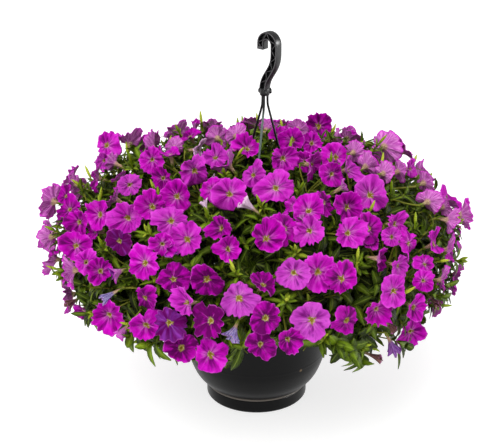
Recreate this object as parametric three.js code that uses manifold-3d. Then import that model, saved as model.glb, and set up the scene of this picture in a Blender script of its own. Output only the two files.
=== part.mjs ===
// Petunia hanging basket: a dark plastic bowl with a snap-on drip saucer and a three-strand hanger,
// filled with potting soil and planted with trailing petunias that make a broad dome of blooms.
// Millimetres, +Z up. The origin is the centre of the saucer's underside. The front of the basket faces
// -Y.
import * as THREE from "three";
import { mergeVertices } from "three/addons/utils/BufferGeometryUtils.js";
import Module from "manifold-3d";

const wasm = await Module();
wasm.setup();

const TURN = 2 * Math.PI;
const DEGREE = Math.PI / 180;
const ROUND_SIDES = 24; // sides of the bowl, saucer and soil
const CLEARANCE = 0.35; // air between pieces that sit in or on each other

// The bowl and its saucer, as radius and height.
const RIM_HEIGHT = 155.5;
const BOWL_PROFILE = [
  [0, 3.2], [79, 3.2], [86.5, 14], [85.5, 18], [87.6, 27],
  [97.5, 32], [112, 50], [122.5, 76], [126.4, 97], [130.8, 148],
  [135, 149.5], [134.3, RIM_HEIGHT], [129.2, RIM_HEIGHT],
  [123.9, 98], [111, 56], [85.5, 29], [78, 7], [0, 7],
];
const SAUCER_PROFILE = [
  [0, 0], [89, 0], [91.4, 3], [91.4, 23.4], [92.6, 25.6], [91, 28],
  [88.8, 22], [86, 18.2], [88.2, 14.5], [86, 2.8], [0, 2.8],
];
const DRAIN = { count: 4, radius: 4, ring: 45 };

// Soil fills the bowl to a little under the rim.
const SOIL_TOP = 138;
const SOIL_CROWN = 141;
const SOIL_PROFILE = [
  [0, 7.4], [77.5, 7.4], [84.9, 29.4], [110.3, 56.3], [123.3, 98.2], [126.9, SOIL_TOP], [0, SOIL_CROWN],
];

// The hanger: strands run from lugs inside the rim to a collar under the hook.
const HUB = [13, 0]; // where the collar stands, across from the bowl's axis
const STRAND = {
  azimuths: [17, 137, 257], radius: 2, sides: 6, keptClear: 1.55, // the last is the radius that blooms avoid
  lugRing: 122, headRadius: 4.2, headHeight: 2.4, bendHeight: 545, topRing: 5, topHeight: 576,
};
const LUG = { width: 16, bottom: 149, top: 152.5, inner: 116, outer: 129.6, holeRadius: 3 };
const COLLAR = { radius: 8.5, bottom: 569, top: 582, bossRadius: 5, bossReach: 11.5, bossHeight: 575.5 };
const SOCKET_ROOM = 0.45;
const HOOK = {
  azimuth: -40, // the way the back of the hook faces
  width: 15, thickness: 13, flange: 2, web: 2.6, rib: 1.6,
  backOffset: 24.1, backHeight: 645, archRadius: 14.5, archHeight: 660.2, tipHeight: 649.6,
  archSteps: 9, stemSteps: 6, ribPitch: 11,
};

// The dome that the plant grows into: a superellipse turned about the bowl's axis.
const DOME = { radius: 368, middle: 300, up: 176, down: 148, power: 2.3 };
const LOWEST_BLOOM = 168;
const LOWEST_FRONT = 222; // the same for the front's hidden underside, over the bowl
const BARE_TOP = 58; // no bloom grows nearer the axis than this, where the strands leave the dome

// Where the photograph was taken from, and its focal length and middle in pixels.
const VIEW = { eye: [-12, -2285, 1282], pitch: 22.6, focal: 1400, middle: [250, 224] };
const BARE_BOWL = { left: 192, right: 322, top: 347 }; // where the bowl shows below the plant, in pixels
const HIGHEST_ROW = 115; // no bloom's middle is seen above this row of pixels

// The blooms that the photograph shows: pixel across, pixel down, diameter in pixels, and the way each
// looks, in degrees turned to the right of the camera and lifted.
const FRONT_BLOOMS = [
  [105, 144, 28, -20, 20], [130, 139, 27, 170, 65], [148, 146, 29, -100, 25], [152, 160, 24, 0, -10],
  [93, 177, 27, -70, 15], [73, 182, 23, -130, 25], [49, 201, 33, -120, 10], [68, 208, 26, -20, 20],
  [77, 222, 26, -30, 0], [48, 238, 23, -130, -10], [74, 246, 30, -25, -5], [98, 214, 30, -25, 10],
  [112, 197, 24, -80, 30], [130, 184, 23, 10, 10], [127, 218, 31, -15, 0], [152, 206, 31, 0, 10],
  [177, 196, 33, 0, 5], [163, 177, 22, 0, 20], [171, 221, 34, 0, 0], [187, 239, 34, -5, 5],
  [162, 244, 25, 0, 0], [194, 172, 30, 0, -20], [211, 190, 29, -20, 0], [230, 194, 32, 0, 0],
  [250, 174, 30, -50, 10], [201, 150, 22, 75, 0], [214, 156, 25, -30, 30], [215, 137, 26, -150, 20],
  [226, 162, 27, -90, 50], [236, 134, 23, 180, 30], [248, 147, 27, 10, 30], [219, 228, 28, -35, 0],
  [230, 249, 28, 25, 5], [118, 242, 27, -20, -15], [142, 263, 35, -35, 0], [276, 188, 38, 0, 0],
  [284, 158, 29, 10, 0], [291, 139, 25, -20, 20], [300, 128, 20, 150, 20], [318, 125, 28, -10, 10],
  [312, 142, 24, 0, 20], [316, 165, 32, 70, -5], [333, 174, 25, 20, 0], [336, 156, 28, 0, 10],
  [351, 169, 27, 60, 10], [340, 137, 23, 110, 15], [357, 151, 23, 130, 20], [369, 164, 26, 130, 30],
  [386, 145, 31, 150, 20], [386, 173, 23, 140, 10], [402, 170, 23, 120, 20], [428, 181, 26, 120, 20],
  [431, 200, 27, 130, 20], [452, 221, 27, 100, -10], [466, 215, 28, 95, 0], [371, 195, 36, 8, 0],
  [345, 186, 18, 90, 30], [327, 203, 26, 50, 0], [347, 207, 28, 0, 0], [309, 209, 33, 0, 25],
  [284, 229, 34, 0, 5], [266, 237, 35, -5, 0], [310, 231, 31, 0, 0], [348, 232, 32, 0, 10],
  [370, 229, 29, 20, 0], [398, 224, 28, 45, 0], [413, 244, 32, 60, -5], [437, 243, 29, 50, 20],
  [453, 250, 28, 80, 0], [383, 259, 26, 70, -5], [402, 267, 32, 70, -15], [428, 263, 27, 60, 20],
  [446, 280, 25, 95, 0], [69, 271, 30, -110, -5], [85, 262, 23, -10, 10], [100, 271, 28, 0, 5],
  [173, 278, 32, 0, 15], [207, 281, 34, 0, -15], [239, 298, 38, 5, 0], [142, 300, 30, -45, -30],
  [184, 303, 31, -55, 0], [107, 317, 33, -25, -25], [145, 328, 33, -10, -35], [169, 324, 34, 0, -10],
  [209, 321, 37, -15, 0], [181, 349, 32, 0, -5], [210, 356, 34, 0, -15], [265, 282, 31, 35, 40],
  [293, 273, 33, -10, 0], [318, 272, 36, 0, 0], [343, 279, 33, 12, 0], [266, 319, 35, 5, -5],
  [261, 346, 31, 10, -20], [288, 341, 28, 5, -25], [313, 321, 38, 8, -5], [349, 323, 31, 35, -30],
  [379, 311, 31, 35, -25], [396, 291, 31, 25, 0], [416, 308, 27, 35, -15], [413, 333, 29, 30, -20],
  [112, 162, 19, -110, 25], [103, 160, 16, -20, 10], [119, 176, 17, -100, 50], [176, 146, 20, 160, 30],
  [170, 152, 19, -20, 20], [189, 135, 20, -30, 40], [268, 127, 20, 150, 40], [279, 134, 19, 10, 30],
  [304, 161, 20, -20, 0], [291, 206, 19, -60, 10], [412, 169, 18, 40, 0], [446, 206, 21, 130, 10],
  [424, 281, 21, -30, -10], [64, 195, 21, -40, 20], [93, 231, 21, -70, -20], [370, 241, 20, 10, -20],
  [391, 237, 20, -20, 0],
];
const BLOOM_PLACES = 204; // places over the whole dome, of which the hidden side's are used
const SHOOT_PLACES = 103;
const GOLDEN_ANGLE = 137.50776;
const SEEN_LIMIT = 0.04; // surfaces that face the photograph by more than this are placed from it
const BLOOM_DIAMETER = [42, 58];
const LOOK = { level: 0.45, lift: 0.3, stray: 0.3 }; // how far a bloom turns level, up and astray

// Stems rise from the soil in rings. Each one feeds the part of the dome round its own middle. The lowest
// ring's are higher in front, where the plant leaves the bowl bare.
const STEM_RINGS = [
  { count: 3, first: 77, height: 467, frontLift: 0, soilRing: 22 },
  { count: 6, first: 47, height: 448, frontLift: 0, soilRing: 47 },
  { count: 9, first: 37, height: 345, frontLift: 0, soilRing: 74 },
  { count: 8, first: 29, height: 212, frontLift: 60, soilRing: 101 },
];
const STEM = {
  radius: 3.4, tipRadius: 3, sides: 4, steps: 3, depthInSoil: 16, holeRoom: 0.6,
  hubDepth: 96, // how far under the dome a hub lies
  focus: 205, // the height that the stalks point away from
  offStrand: 600, // degrees times radius, kept clear of a strand where a stem leaves the soil
  rise: 0.42, arrival: 0.36, // the curve's handles, as shares of its reach
};
const STALK = { radius: 3.1, tipRadius: 2.7, tipDepth: 44 };
const PEDICEL = { radius: 1.15, sides: 3, slope: 0.85, spacing: 3.4, least: 7 };
const BLOOM = { tube: 29, tubeRadius: 1.8, neckRadius: 5.2, neckDepth: 10, throatDepth: 5.2 };
const LIMB = {
  notch: 0.85, lobeLift: -3, notchLift: 1, wave: 1.3, fullRadius: 24,
  front: 2.6, back: 4.6, // how far the wavy edge reaches before and behind its middle
};
const SHOOT = {
  depths: [8, 18, 28, 40, 52], sizes: [1, 0.85], slopes: [0.5, 1, 0.1], radius: 1.4, leaves: 4, turns: 6,
  offBloom: 42, offShoot: 50, push: 0.4, rounds: 12, least: 6,
};
const LEAF = { length: 37, width: 17, thickness: 1.2, rise: 0.55, droop: 0.12, spread: 0.2, foot: 0.14 };

// What a bloom may do where others crowd it: grow from another depth, be smaller or look straight out.
const DEPTHS = [0, 14, -13, 26, -25, 7, -7, 20, -19, 33, -31];
const SIZES = [1, 0.9, 0.8, 0.7, 0.6];
const STRAYS = [1, 0.5, 0];
const ROOM = 1.4; // the least air between two blooms, or a bloom and a stem, where room is tested
const NEIGHBOUR = 170; // blooms further apart than this can't touch
const BALL_STEP = 4;

// A random generator with a fixed start, so that each build is alike.
function generator(start) {
  let state = start;
  return () => {
    state = (state * 16807) % 2147483647;
    return state / 2147483647;
  };
}
const placing = generator(20263);
const shaping = generator(1975);
const spread = (draw, amount) => (2 * draw() - 1) * amount;

const vec = (x, y, z) => new THREE.Vector3(x, y, z);
const polar = (radius, azimuth, z) =>
  vec(radius * Math.cos(azimuth * DEGREE), radius * Math.sin(azimuth * DEGREE), z);

// A closed mesh of points and triangles as a solid, turned inside out first if it faces inwards.
function solid(points, triangles) {
  let volume = 0;
  for (const [a, b, c] of triangles)
    volume += points[a].dot(points[b].clone().cross(points[c]));
  const faces = volume < 0 ? triangles.map(([a, b, c]) => [a, c, b]) : triangles;
  return new wasm.Manifold(new wasm.Mesh({
    numProp: 3,
    vertProperties: new Float32Array(points.flatMap((p) => [p.x, p.y, p.z])),
    triVerts: new Uint32Array(faces.flat()),
  }));
}

// A three.js geometry as a solid.
function solidOf(geometry) {
  const bare = geometry.clone();
  bare.deleteAttribute("normal");
  bare.deleteAttribute("uv");
  const merged = mergeVertices(bare, 1e-3);
  return new wasm.Manifold(new wasm.Mesh({
    numProp: 3,
    vertProperties: new Float32Array(merged.attributes.position.array),
    triVerts: new Uint32Array(merged.index.array),
  }));
}

function geometryOf(body) {
  const mesh = body.getMesh();
  const geometry = new THREE.BufferGeometry();
  geometry.setAttribute("position", new THREE.BufferAttribute(new Float32Array(mesh.vertProperties), 3));
  geometry.setIndex(new THREE.BufferAttribute(new Uint32Array(mesh.triVerts), 1));
  return geometry;
}

// A profile of radius and height turned about the Z axis.
function lathe(profile) {
  const geometry = new THREE.LatheGeometry(profile.map(([r, z]) => new THREE.Vector2(r, z)), ROUND_SIDES);
  return geometry.rotateX(Math.PI / 2);
}

function cylinder(radius, height, sides) {
  return new THREE.CylinderGeometry(radius, radius, height, sides).rotateX(Math.PI / 2);
}

// Joins two rings, whose points know how far round they lie, with triangles. A ring of one point makes
// a fan.
function stitch(a, b, triangles) {
  let i = 0;
  let j = 0;
  const place = (ring, k) => ring.turns[k % ring.turns.length] + Math.floor(k / ring.turns.length);
  const index = (ring, k) => ring.start + (k % ring.turns.length);
  const aCount = a.turns.length > 1 ? a.turns.length : 0;
  const bCount = b.turns.length > 1 ? b.turns.length : 0;
  while (i < aCount || j < bCount) {
    const nextIsOnB = i >= aCount || place(b, j + 1) < place(a, i + 1) - 1e-9;
    const onB = j < bCount && nextIsOnB;
    if (onB) {
      triangles.push([index(a, i), index(b, j), index(b, j + 1)]);
      j += 1;
    } else {
      triangles.push([index(a, i), index(b, j), index(a, i + 1)]);
      i += 1;
    }
  }
}

// A solid skinned over rings in order, with its two ends closed.
function skin(rings) {
  const points = [];
  const triangles = [];
  for (const ring of rings) {
    ring.start = points.length;
    points.push(...ring.points);
  }
  for (let k = 1; k < rings.length; k += 1) stitch(rings[k - 1], rings[k], triangles);
  const cap = (ring, flip) => {
    for (let k = 1; k + 1 < ring.points.length; k += 1) {
      const [p, q] = flip ? [k + 1, k] : [k, k + 1];
      triangles.push([ring.start, ring.start + p, ring.start + q]);
    }
  };
  cap(rings[0], false);
  cap(rings[rings.length - 1], true);
  return solid(points, triangles);
}

// A ring of points round a place, in the plane of two unit vectors, each point with its own radius and
// lift.
function ring(place, [side, up, axis], count, radius, lift = () => 0, shift = 0) {
  const turns = Array.from({ length: count }, (_, k) => (k + shift) / count);
  const points = turns.map((turn, k) => {
    const r = typeof radius === "function" ? radius(k) : radius;
    return place.clone()
      .addScaledVector(side, r * Math.cos(TURN * turn))
      .addScaledVector(up, r * Math.sin(TURN * turn))
      .addScaledVector(axis, lift(k));
  });
  return { points, turns };
}

// Two unit vectors across an axis, turned about it by an angle.
function frameOf(axis, spin = 0) {
  const unit = axis.clone().normalize();
  const helper = Math.abs(unit.z) < 0.9 ? vec(0, 0, 1) : vec(0, 1, 0);
  const side = helper.cross(unit).normalize().applyAxisAngle(unit, spin);
  return [side, unit.clone().cross(side), unit];
}

// A tapered tube through points, with flat ends.
function tube(points, radii, sides) {
  let frame = frameOf(points[1].clone().sub(points[0]));
  const rings = points.map((point, k) => {
    const before = points[Math.max(k - 1, 0)];
    const after = points[Math.min(k + 1, points.length - 1)];
    const axis = after.clone().sub(before).normalize();
    const turn = new THREE.Quaternion().setFromUnitVectors(frame[2], axis);
    frame = frame.map((v) => v.clone().applyQuaternion(turn));
    return ring(point, frame, sides, radii[k]);
  });
  return skin(rings);
}

// How far out a point lies, as a share of the dome: 1 is on its surface.
function domeShare(p) {
  const r = Math.hypot(p.x, p.y) / DOME.radius;
  const rise = (p.z - DOME.middle) / (p.z > DOME.middle ? DOME.up : DOME.down);
  return r ** DOME.power + Math.abs(rise) ** DOME.power;
}

function domeNormal(p) {
  const r = Math.max(Math.hypot(p.x, p.y), 1e-6);
  const tall = p.z > DOME.middle ? DOME.up : DOME.down;
  const out = (r / DOME.radius) ** (DOME.power - 1) / DOME.radius;
  const rise = (Math.abs(p.z - DOME.middle) / tall) ** (DOME.power - 1) / tall;
  return vec((out * p.x) / r, (out * p.y) / r, Math.sign(p.z - DOME.middle) * rise).normalize();
}

// The dome's point at an azimuth and a height.
function domePoint(azimuth, z) {
  const rise = Math.abs(z - DOME.middle) / (z > DOME.middle ? DOME.up : DOME.down);
  return polar(DOME.radius * Math.max(1 - rise ** DOME.power, 0) ** (1 / DOME.power), azimuth, z);
}

const eye = vec(...VIEW.eye);
const forward = vec(0, Math.cos(VIEW.pitch * DEGREE), -Math.sin(VIEW.pitch * DEGREE));
const upward = vec(0, Math.sin(VIEW.pitch * DEGREE), Math.cos(VIEW.pitch * DEGREE));

// The pixel at which a point is seen.
function seenAt(p) {
  const off = p.clone().sub(eye);
  const scale = VIEW.focal / off.dot(forward);
  return [VIEW.middle[0] + off.x * scale, VIEW.middle[1] - off.dot(upward) * scale];
}

// Whether a point would hide the part of the bowl that shows below the plant.
function beforeBowl(p) {
  const [x, y] = seenAt(p);
  return x > BARE_BOWL.left && x < BARE_BOWL.right && y > BARE_BOWL.top;
}

// Where the line of sight through a pixel meets the dome, or passes nearest to it.
function seenPoint(x, y) {
  const sight = forward.clone()
    .addScaledVector(vec(1, 0, 0), (x - VIEW.middle[0]) / VIEW.focal)
    .addScaledVector(upward, (VIEW.middle[1] - y) / VIEW.focal)
    .normalize();
  let best = null;
  let least = Infinity;
  for (let along = 1600; along < 3200; along += 2) {
    const p = eye.clone().addScaledVector(sight, along);
    const share = domeShare(p);
    if (share < 1) return p;
    if (share < least) {
      least = share;
      best = p;
    }
  }
  return best;
}

// Places spread evenly over the dome down to a height, on a spiral, and shaken a little.
function spiralPlaces(count, lowest, jitter) {
  const steps = 400;
  const top = DOME.middle + DOME.up;
  const heights = Array.from({ length: steps + 1 }, (_, k) => lowest + ((top - lowest) * k) / steps);
  const radii = heights.map((z) => domePoint(0, z).x);
  const area = [0];
  for (let k = 1; k <= steps; k += 1) {
    const slant = Math.hypot(radii[k] - radii[k - 1], heights[k] - heights[k - 1]);
    area.push(area[k - 1] + (slant * (radii[k] + radii[k - 1])) / 2);
  }
  return Array.from({ length: count }, (_, n) => {
    const wanted = (area[steps] * (n + 0.5)) / count;
    const k = area.findIndex((sum) => sum >= wanted);
    const share = (wanted - area[k - 1]) / (area[k] - area[k - 1]);
    const z = heights[k - 1] + share * (heights[k] - heights[k - 1]) + spread(placing, jitter / 2);
    const azimuth = n * GOLDEN_ANGLE + spread(placing, jitter / 5);
    return domePoint(azimuth, Math.min(Math.max(z, lowest), top - 1));
  });
}

const fromAxis = (p) => Math.hypot(p.x, p.y);
const hidden = (p) => domeNormal(p).dot(eye.clone().sub(p).normalize()) < SEEN_LIMIT;

// The direction of a face that is turned to the right of the camera and lifted, in degrees.
function seenLook(turn, lift) {
  const [aside, up] = [turn * DEGREE, lift * DEGREE];
  return vec(Math.sin(aside) * Math.cos(up), 0, 0)
    .addScaledVector(forward, -Math.cos(aside) * Math.cos(up))
    .addScaledVector(upward, Math.sin(up));
}

// Which way a bloom on the hidden side looks: outwards, lifted towards the light, and a little astray.
function facing(p) {
  const out = domeNormal(p);
  const level = vec(p.x, p.y, 0).normalize();
  return out.clone()
    .addScaledVector(level, LOOK.level)
    .addScaledVector(vec(0, 0, 1), LOOK.lift)
    .addScaledVector(frameOf(out)[0], spread(placing, LOOK.stray))
    .addScaledVector(frameOf(out)[1], spread(placing, LOOK.stray))
    .normalize();
}

// All blooms, each with its place on the dome, the way it looks, the way it may shift, its radius and its
// turn about its own axis.
function placeBlooms() {
  const blooms = FRONT_BLOOMS.map(([x, y, across, turn, lift]) => {
    const place = seenPoint(x, y);
    const radius = (across * place.clone().sub(eye).dot(forward)) / VIEW.focal / 2;
    return { place, radius, looks: seenLook(turn, lift), rise: eye.clone().sub(place).normalize() };
  });
  const [least, most] = BLOOM_DIAMETER;
  for (const place of spiralPlaces(BLOOM_PLACES, LOWEST_BLOOM, 22)) {
    const underFront = place.y < 0 && place.z < LOWEST_FRONT;
    if (!hidden(place) || fromAxis(place) < BARE_TOP || underFront) continue;
    const radius = (least + placing() * (most - least)) / 2;
    blooms.push({ place, radius, looks: facing(place), rise: domeNormal(place) });
  }
  for (const bloom of blooms) {
    bloom.out = domeNormal(bloom.place);
    bloom.spin = placing() * TURN;
  }
  return blooms;
}

// Balls along a straight line, which stand for it where room is tested.
function ballsAlong(from, to, radiusFrom, radiusTo) {
  const count = Math.ceil(from.distanceTo(to) / BALL_STEP);
  return Array.from({ length: count + 1 }, (_, k) => ({
    place: from.clone().lerp(to, k / count),
    radius: radiusFrom + ((radiusTo - radiusFrom) * k) / count,
  }));
}

// A bloom as it would grow at a depth, with a size and a share of its stray look, and what stands for
// it.
function grown(bloom, stem, depth, size, stray) {
  const middle = bloom.place.clone().addScaledVector(bloom.rise, depth);
  const looks = bloom.out.clone().lerp(bloom.looks, stray).normalize();
  const radius = bloom.radius * size;
  const neck = middle.clone().addScaledVector(looks, -BLOOM.neckDepth);
  const calyx = middle.clone().addScaledVector(looks, -BLOOM.tube);
  const root = bloom.leads ? stem.tip
    : freeRoot(stem, branchPoint(stem.hub, stem.tip, calyx, PEDICEL.slope, PEDICEL.least), calyx);
  const frame = frameOf(looks, bloom.spin);
  const rims = [ring(middle, frame, 8, radius / 2), ring(middle, frame, 18, radius)];
  const limb = [middle, ...rims.flatMap((rim) => rim.points)];
  const line = [
    ...ballsAlong(neck, calyx, BLOOM.neckRadius, BLOOM.tubeRadius),
    ...ballsAlong(calyx, root, BLOOM.tubeRadius, PEDICEL.radius),
  ];
  return { ...bloom, stem, middle, looks, radius, calyx, root, limb, line };
}

// The first place up a stalk, from a wanted one, that no other bloom of the spray grows from on the
// same side.
function freeRoot(stem, wanted, calyx) {
  const axis = stem.outward;
  const side = (p, root) => p.clone().sub(root).projectOnPlane(axis).normalize();
  const taken = (root) => stem.blooms.some((other) => other.root.distanceTo(root) < PEDICEL.spacing
    && side(other.calyx, other.root).dot(side(calyx, root)) > 0.1);
  const room = stem.tip.distanceTo(wanted) - 1;
  for (let up = 0; up < room; up += 1) {
    const root = wanted.clone().addScaledVector(axis, up);
    if (!taken(root)) return root;
  }
  return wanted;
}

// Whether a ball comes too near a bloom's limb, which is a shallow cone with a wavy edge.
function meetsLimb(place, size, bloom) {
  const off = place.clone().sub(bloom.middle);
  const behind = -off.dot(bloom.looks);
  const aside = Math.sqrt(Math.max(off.lengthSq() - behind * behind, 0));
  const back = Math.max(BLOOM.neckDepth * (1 - aside / bloom.radius), LIMB.back);
  return aside < bloom.radius + size && behind > -LIMB.front - size && behind < back + size;
}

const lineMeetsLimb = (line, bloom) => line.some((ball) => meetsLimb(ball.place, ball.radius + ROOM, bloom));

// Whether two blooms come too near each other. Stalks of one spray may meet.
function crowded(a, b) {
  if (a.place.distanceTo(b.place) > NEIGHBOUR) return false;
  const clash = (p, q) => p.limb.some((place) => meetsLimb(place, ROOM, q)) || lineMeetsLimb(p.line, q);
  if (clash(a, b) || clash(b, a)) return true;
  const free = (bloom) => (a.stem === b.stem ? bloom.line.slice(0, -3) : bloom.line);
  return touching(free(a), free(b));
}

function touching(line, other) {
  return line.some((p) => other.some((q) => p.place.distanceTo(q.place) < p.radius + q.radius + ROOM));
}

// Grows the blooms one by one, each the first way that leaves room between it and what has grown
// before. The bloom nearest to a stem's crown leads its spray: the stalk is its own, and doesn't turn
// back on itself.
function growBlooms(blooms, stems) {
  const all = [];
  for (const bloom of blooms) bloom.stem = nearest(stems, bloom.place, (s) => s.crown);
  for (const stem of stems)
    nearest(blooms.filter((b) => b.stem === stem), stem.crown, (b) => b.place).leads = true;
  for (const bloom of blooms) {
    const { stem } = bloom;
    const near = all.filter((other) => other.place.distanceTo(bloom.place) < NEIGHBOUR);
    let chosen = null;
    for (const size of SIZES)
      for (const stray of STRAYS)
        for (const depth of DEPTHS) {
          if (chosen) continue;
          const tried = grown(bloom, stem, depth, size, stray);
          const seen = seenAt(tried.middle)[1] > HIGHEST_ROW;
          const free = seen && !turnsBack(tried) && near.every((other) => !crowded(tried, other))
            && stems.every((other) => clearsStem(tried, other)) && clearsLine(tried, strandBalls);
          if (free) chosen = tried;
        }
    chosen ??= grown(bloom, stem, 0, SIZES.at(-1), 0);
    all.push(chosen);
    stem.blooms.push(chosen);
  }
  return all;
}

function turnsBack({ leads, calyx, root, stem }) {
  return leads && calyx.clone().sub(root).dot(stem.outward) < 0;
}

// Balls for the strands of the hanger, where they pass through the plant.
const strandBalls = STRAND.azimuths.map(strandLine)
  .flatMap(([foot, bend]) => ballsAlong(foot, bend, STRAND.keptClear, STRAND.keptClear));

// Whether a bloom keeps clear of a stem, and of its stalk where that is another bloom's.
function clearsStem(bloom, stem) {
  const own = bloom.stem === stem;
  if (own && lineMeetsLimb(stem.stalkBalls, bloom)) return false;
  return clearsLine(bloom, own ? stem.routeBalls : [...stem.routeBalls, ...stem.stalkBalls]);
}

function clearsLine(bloom, line) {
  return !touching(bloom.line, line) && !lineMeetsLimb(line, bloom);
}

// Tips of the leafy shoots, moved off the blooms and off each other.
function placeShoots(blooms) {
  const tips = spiralPlaces(SHOOT_PLACES, LOWEST_BLOOM - 10, 20).filter((tip) => !beforeBowl(tip));
  const crowds = [[blooms.map((b) => b.place), SHOOT.offBloom], [tips, SHOOT.offShoot]];
  for (let round = 0; round < SHOOT.rounds; round += 1)
    for (const tip of tips) {
      const push = vec(0, 0, 0);
      for (const [others, reach] of crowds)
        for (const other of others) {
          const away = tip.clone().sub(other);
          const gap = away.length();
          if (gap > 1e-6 && gap < reach) push.addScaledVector(away, (SHOOT.push * (reach - gap)) / gap);
        }
      tip.add(push);
      const middle = vec(0, 0, DOME.middle);
      tip.sub(middle).multiplyScalar(domeShare(tip.clone().add(middle)) ** (-1 / DOME.power)).add(middle);
    }
  return tips;
}

// A solid that is tried against what stands in other nodes already.
const standing = [];
function clearOf(node, body) {
  const box = body.boundingBox();
  return standing.every((other) => {
    if (other.node === node) return true;
    for (let k = 0; k < 3; k += 1)
      if (box.min[k] > other.box.max[k] || box.max[k] < other.box.min[k]) return true;
    return body.intersect(other.body).isEmpty();
  });
}
function stand(node, body) {
  standing.push({ node, body, box: body.boundingBox() });
}

// A trumpet bloom with five notched lobes, on its own stalk. The one that leads a spray has the spray's
// whole stalk.
function bloomSolid({ middle, looks, radius, spin, calyx, root, leads, stem }) {
  const frame = frameOf(looks, spin);
  const at = (depth) => middle.clone().addScaledVector(looks, -depth);
  const stalk = calyx.clone().sub(root).normalize();
  const size = radius / LIMB.fullRadius;
  const waves = Array.from({ length: 10 }, () => spread(shaping, LIMB.wave));
  const reach = (k) => radius * (k % 2 ? LIMB.notch : 1);
  const lift = (k) => size * ((k % 2 ? LIMB.notchLift : LIMB.lobeLift) + waves[k]);
  const rings = [
    { points: [at(BLOOM.throatDepth * size)], turns: [0] },
    ring(at(0), frame, 10, reach, lift),
    ring(at(BLOOM.neckDepth), frame, 3, BLOOM.neckRadius),
    ring(calyx, frameAlong(frame, looks.clone().add(stalk).normalize()), 3, BLOOM.tubeRadius),
  ];
  if (leads) {
    const foot = stem.hub.clone().addScaledVector(stem.outward, CLEARANCE);
    const bend = stalk.clone().add(stem.outward).normalize();
    rings.push(ring(root, frameAlong(frame, bend), 3, STALK.tipRadius));
    rings.push(ring(foot, frameAlong(frame, stem.outward), 3, STALK.radius));
  } else {
    rings.push(ring(root, frameAlong(frame, stalk), PEDICEL.sides, PEDICEL.radius));
  }
  return skin(rings);
}

// A frame carried over to a new axis by the shortest turn.
function frameAlong(frame, axis) {
  const turn = new THREE.Quaternion().setFromUnitVectors(frame[2], axis);
  return frame.map((v) => v.clone().applyQuaternion(turn));
}

// A whorl of pointed leaves on a shoot, as one thin blade cut to its middle. Every leaf rises and then
// arches over. Each leaf has four corners: the cut before it, its widest point on both sides, and its
// tip between them.
function whorlSolid(root, end, spin, scales) {
  const along = end.clone().sub(root).normalize();
  const frame = frameOf(along, spin);
  const outline = { points: [], turns: [] };
  const corners = [
    { reach: LEAF.foot, aside: 0, turn: -0.5 },
    { reach: 0.5, aside: -1, turn: -0.25 },
    { reach: 1, aside: 0, turn: 0 },
    { reach: 0.5, aside: 1, turn: 0.25 },
  ];
  scales.forEach((scale, n) => {
    for (const { reach, aside, turn } of corners) {
      const angle = TURN * (reach === LEAF.foot ? n - 0.5 : n) / scales.length;
      const outward = frame[0].clone().applyAxisAngle(along, angle);
      const out = reach * LEAF.length * scale;
      const lift = LEAF.rise * out - (LEAF.droop * out * out) / LEAF.length * (1 + scale);
      outline.points.push(end.clone()
        .addScaledVector(outward, out)
        .addScaledVector(along.clone().cross(outward), aside * LEAF.width * scale / 2)
        .addScaledVector(along, lift));
      outline.turns.push((n + turn) / scales.length);
    }
  });
  return skin([
    { points: [end.clone().addScaledVector(along, LEAF.thickness)], turns: [0] },
    outline,
    ring(end.clone().addScaledVector(along, -LEAF.thickness), frame, 3, SHOOT.radius),
    ring(root, frame, 3, SHOOT.radius),
  ]);
}

// The middles of the parts of the dome that the stems feed, and the route of each stem from the soil to
// its hub. A stalk carries on from the hub to just under the dome.
function placeStems() {
  const stems = [];
  for (const { count, first, height, frontLift, soilRing } of STEM_RINGS)
    for (let k = 0; k < count; k += 1) {
      const azimuth = first + (360 * k) / count;
      const front = Math.max(-Math.sin(azimuth * DEGREE), 0);
      const crown = domePoint(azimuth, height + frontLift * front ** 4);
      const outward = crown.clone().sub(vec(0, 0, STEM.focus)).normalize();
      const hub = crown.clone().addScaledVector(outward, -STEM.hubDepth);
      const tip = crown.clone().addScaledVector(outward, -STALK.tipDepth);
      const aside = clearAzimuth(azimuth, STEM.offStrand / soilRing);
      const start = polar(soilRing, aside, SOIL_TOP - STEM.depthInSoil);
      const soil = start.clone().setZ(SOIL_TOP + 8);
      const reach = hub.distanceTo(soil);
      const curve = new THREE.CubicBezierCurve3(
        soil, soil.clone().add(vec(0, 0, STEM.rise * reach)),
        hub.clone().addScaledVector(outward, -STEM.arrival * reach), hub,
      );
      const route = [start, ...curve.getPoints(STEM.steps)];
      const routeBalls = route.slice(1)
        .flatMap((p, i) => ballsAlong(route[i], p, STEM.radius, STEM.radius));
      const stalkBalls = ballsAlong(hub, tip, STALK.radius, STALK.radius);
      stems.push({ crown, outward, hub, tip, start, route, routeBalls, stalkBalls, blooms: [], shoots: [] });
    }
  return stems;
}

// An azimuth moved off the strands of the hanger, by a number of degrees.
function clearAzimuth(azimuth, room) {
  for (const strand of STRAND.azimuths) {
    const off = ((azimuth - strand + 540) % 360) - 180;
    if (Math.abs(off) < room) return strand + room * (off < 0 ? -1 : 1);
  }
  return azimuth;
}

function nearest(list, p, place) {
  const gap = (item) => place(item).distanceTo(p);
  return list.reduce((best, item) => (gap(item) < gap(best) ? item : best));
}

// The point along a stalk or stem from which a side branch to a place leaves at a natural slope.
function branchPoint(from, to, place, slope, least) {
  const axis = to.clone().sub(from);
  const length = axis.length();
  axis.normalize();
  const along = place.clone().sub(from).dot(axis);
  const aside = place.clone().sub(from).addScaledVector(axis, -along).length();
  const at = Math.min(Math.max(along - slope * aside, least), length - 1);
  return from.clone().addScaledVector(axis, at);
}

// The stem of a leafy stem, from the soil to its hub.
function stemSolid({ route }) {
  const last = route.length - 1;
  const radii = route.map((_, k) => STEM.radius + ((STEM.tipRadius - STEM.radius) * k) / last);
  return tube(route, radii, STEM.sides);
}

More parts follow.
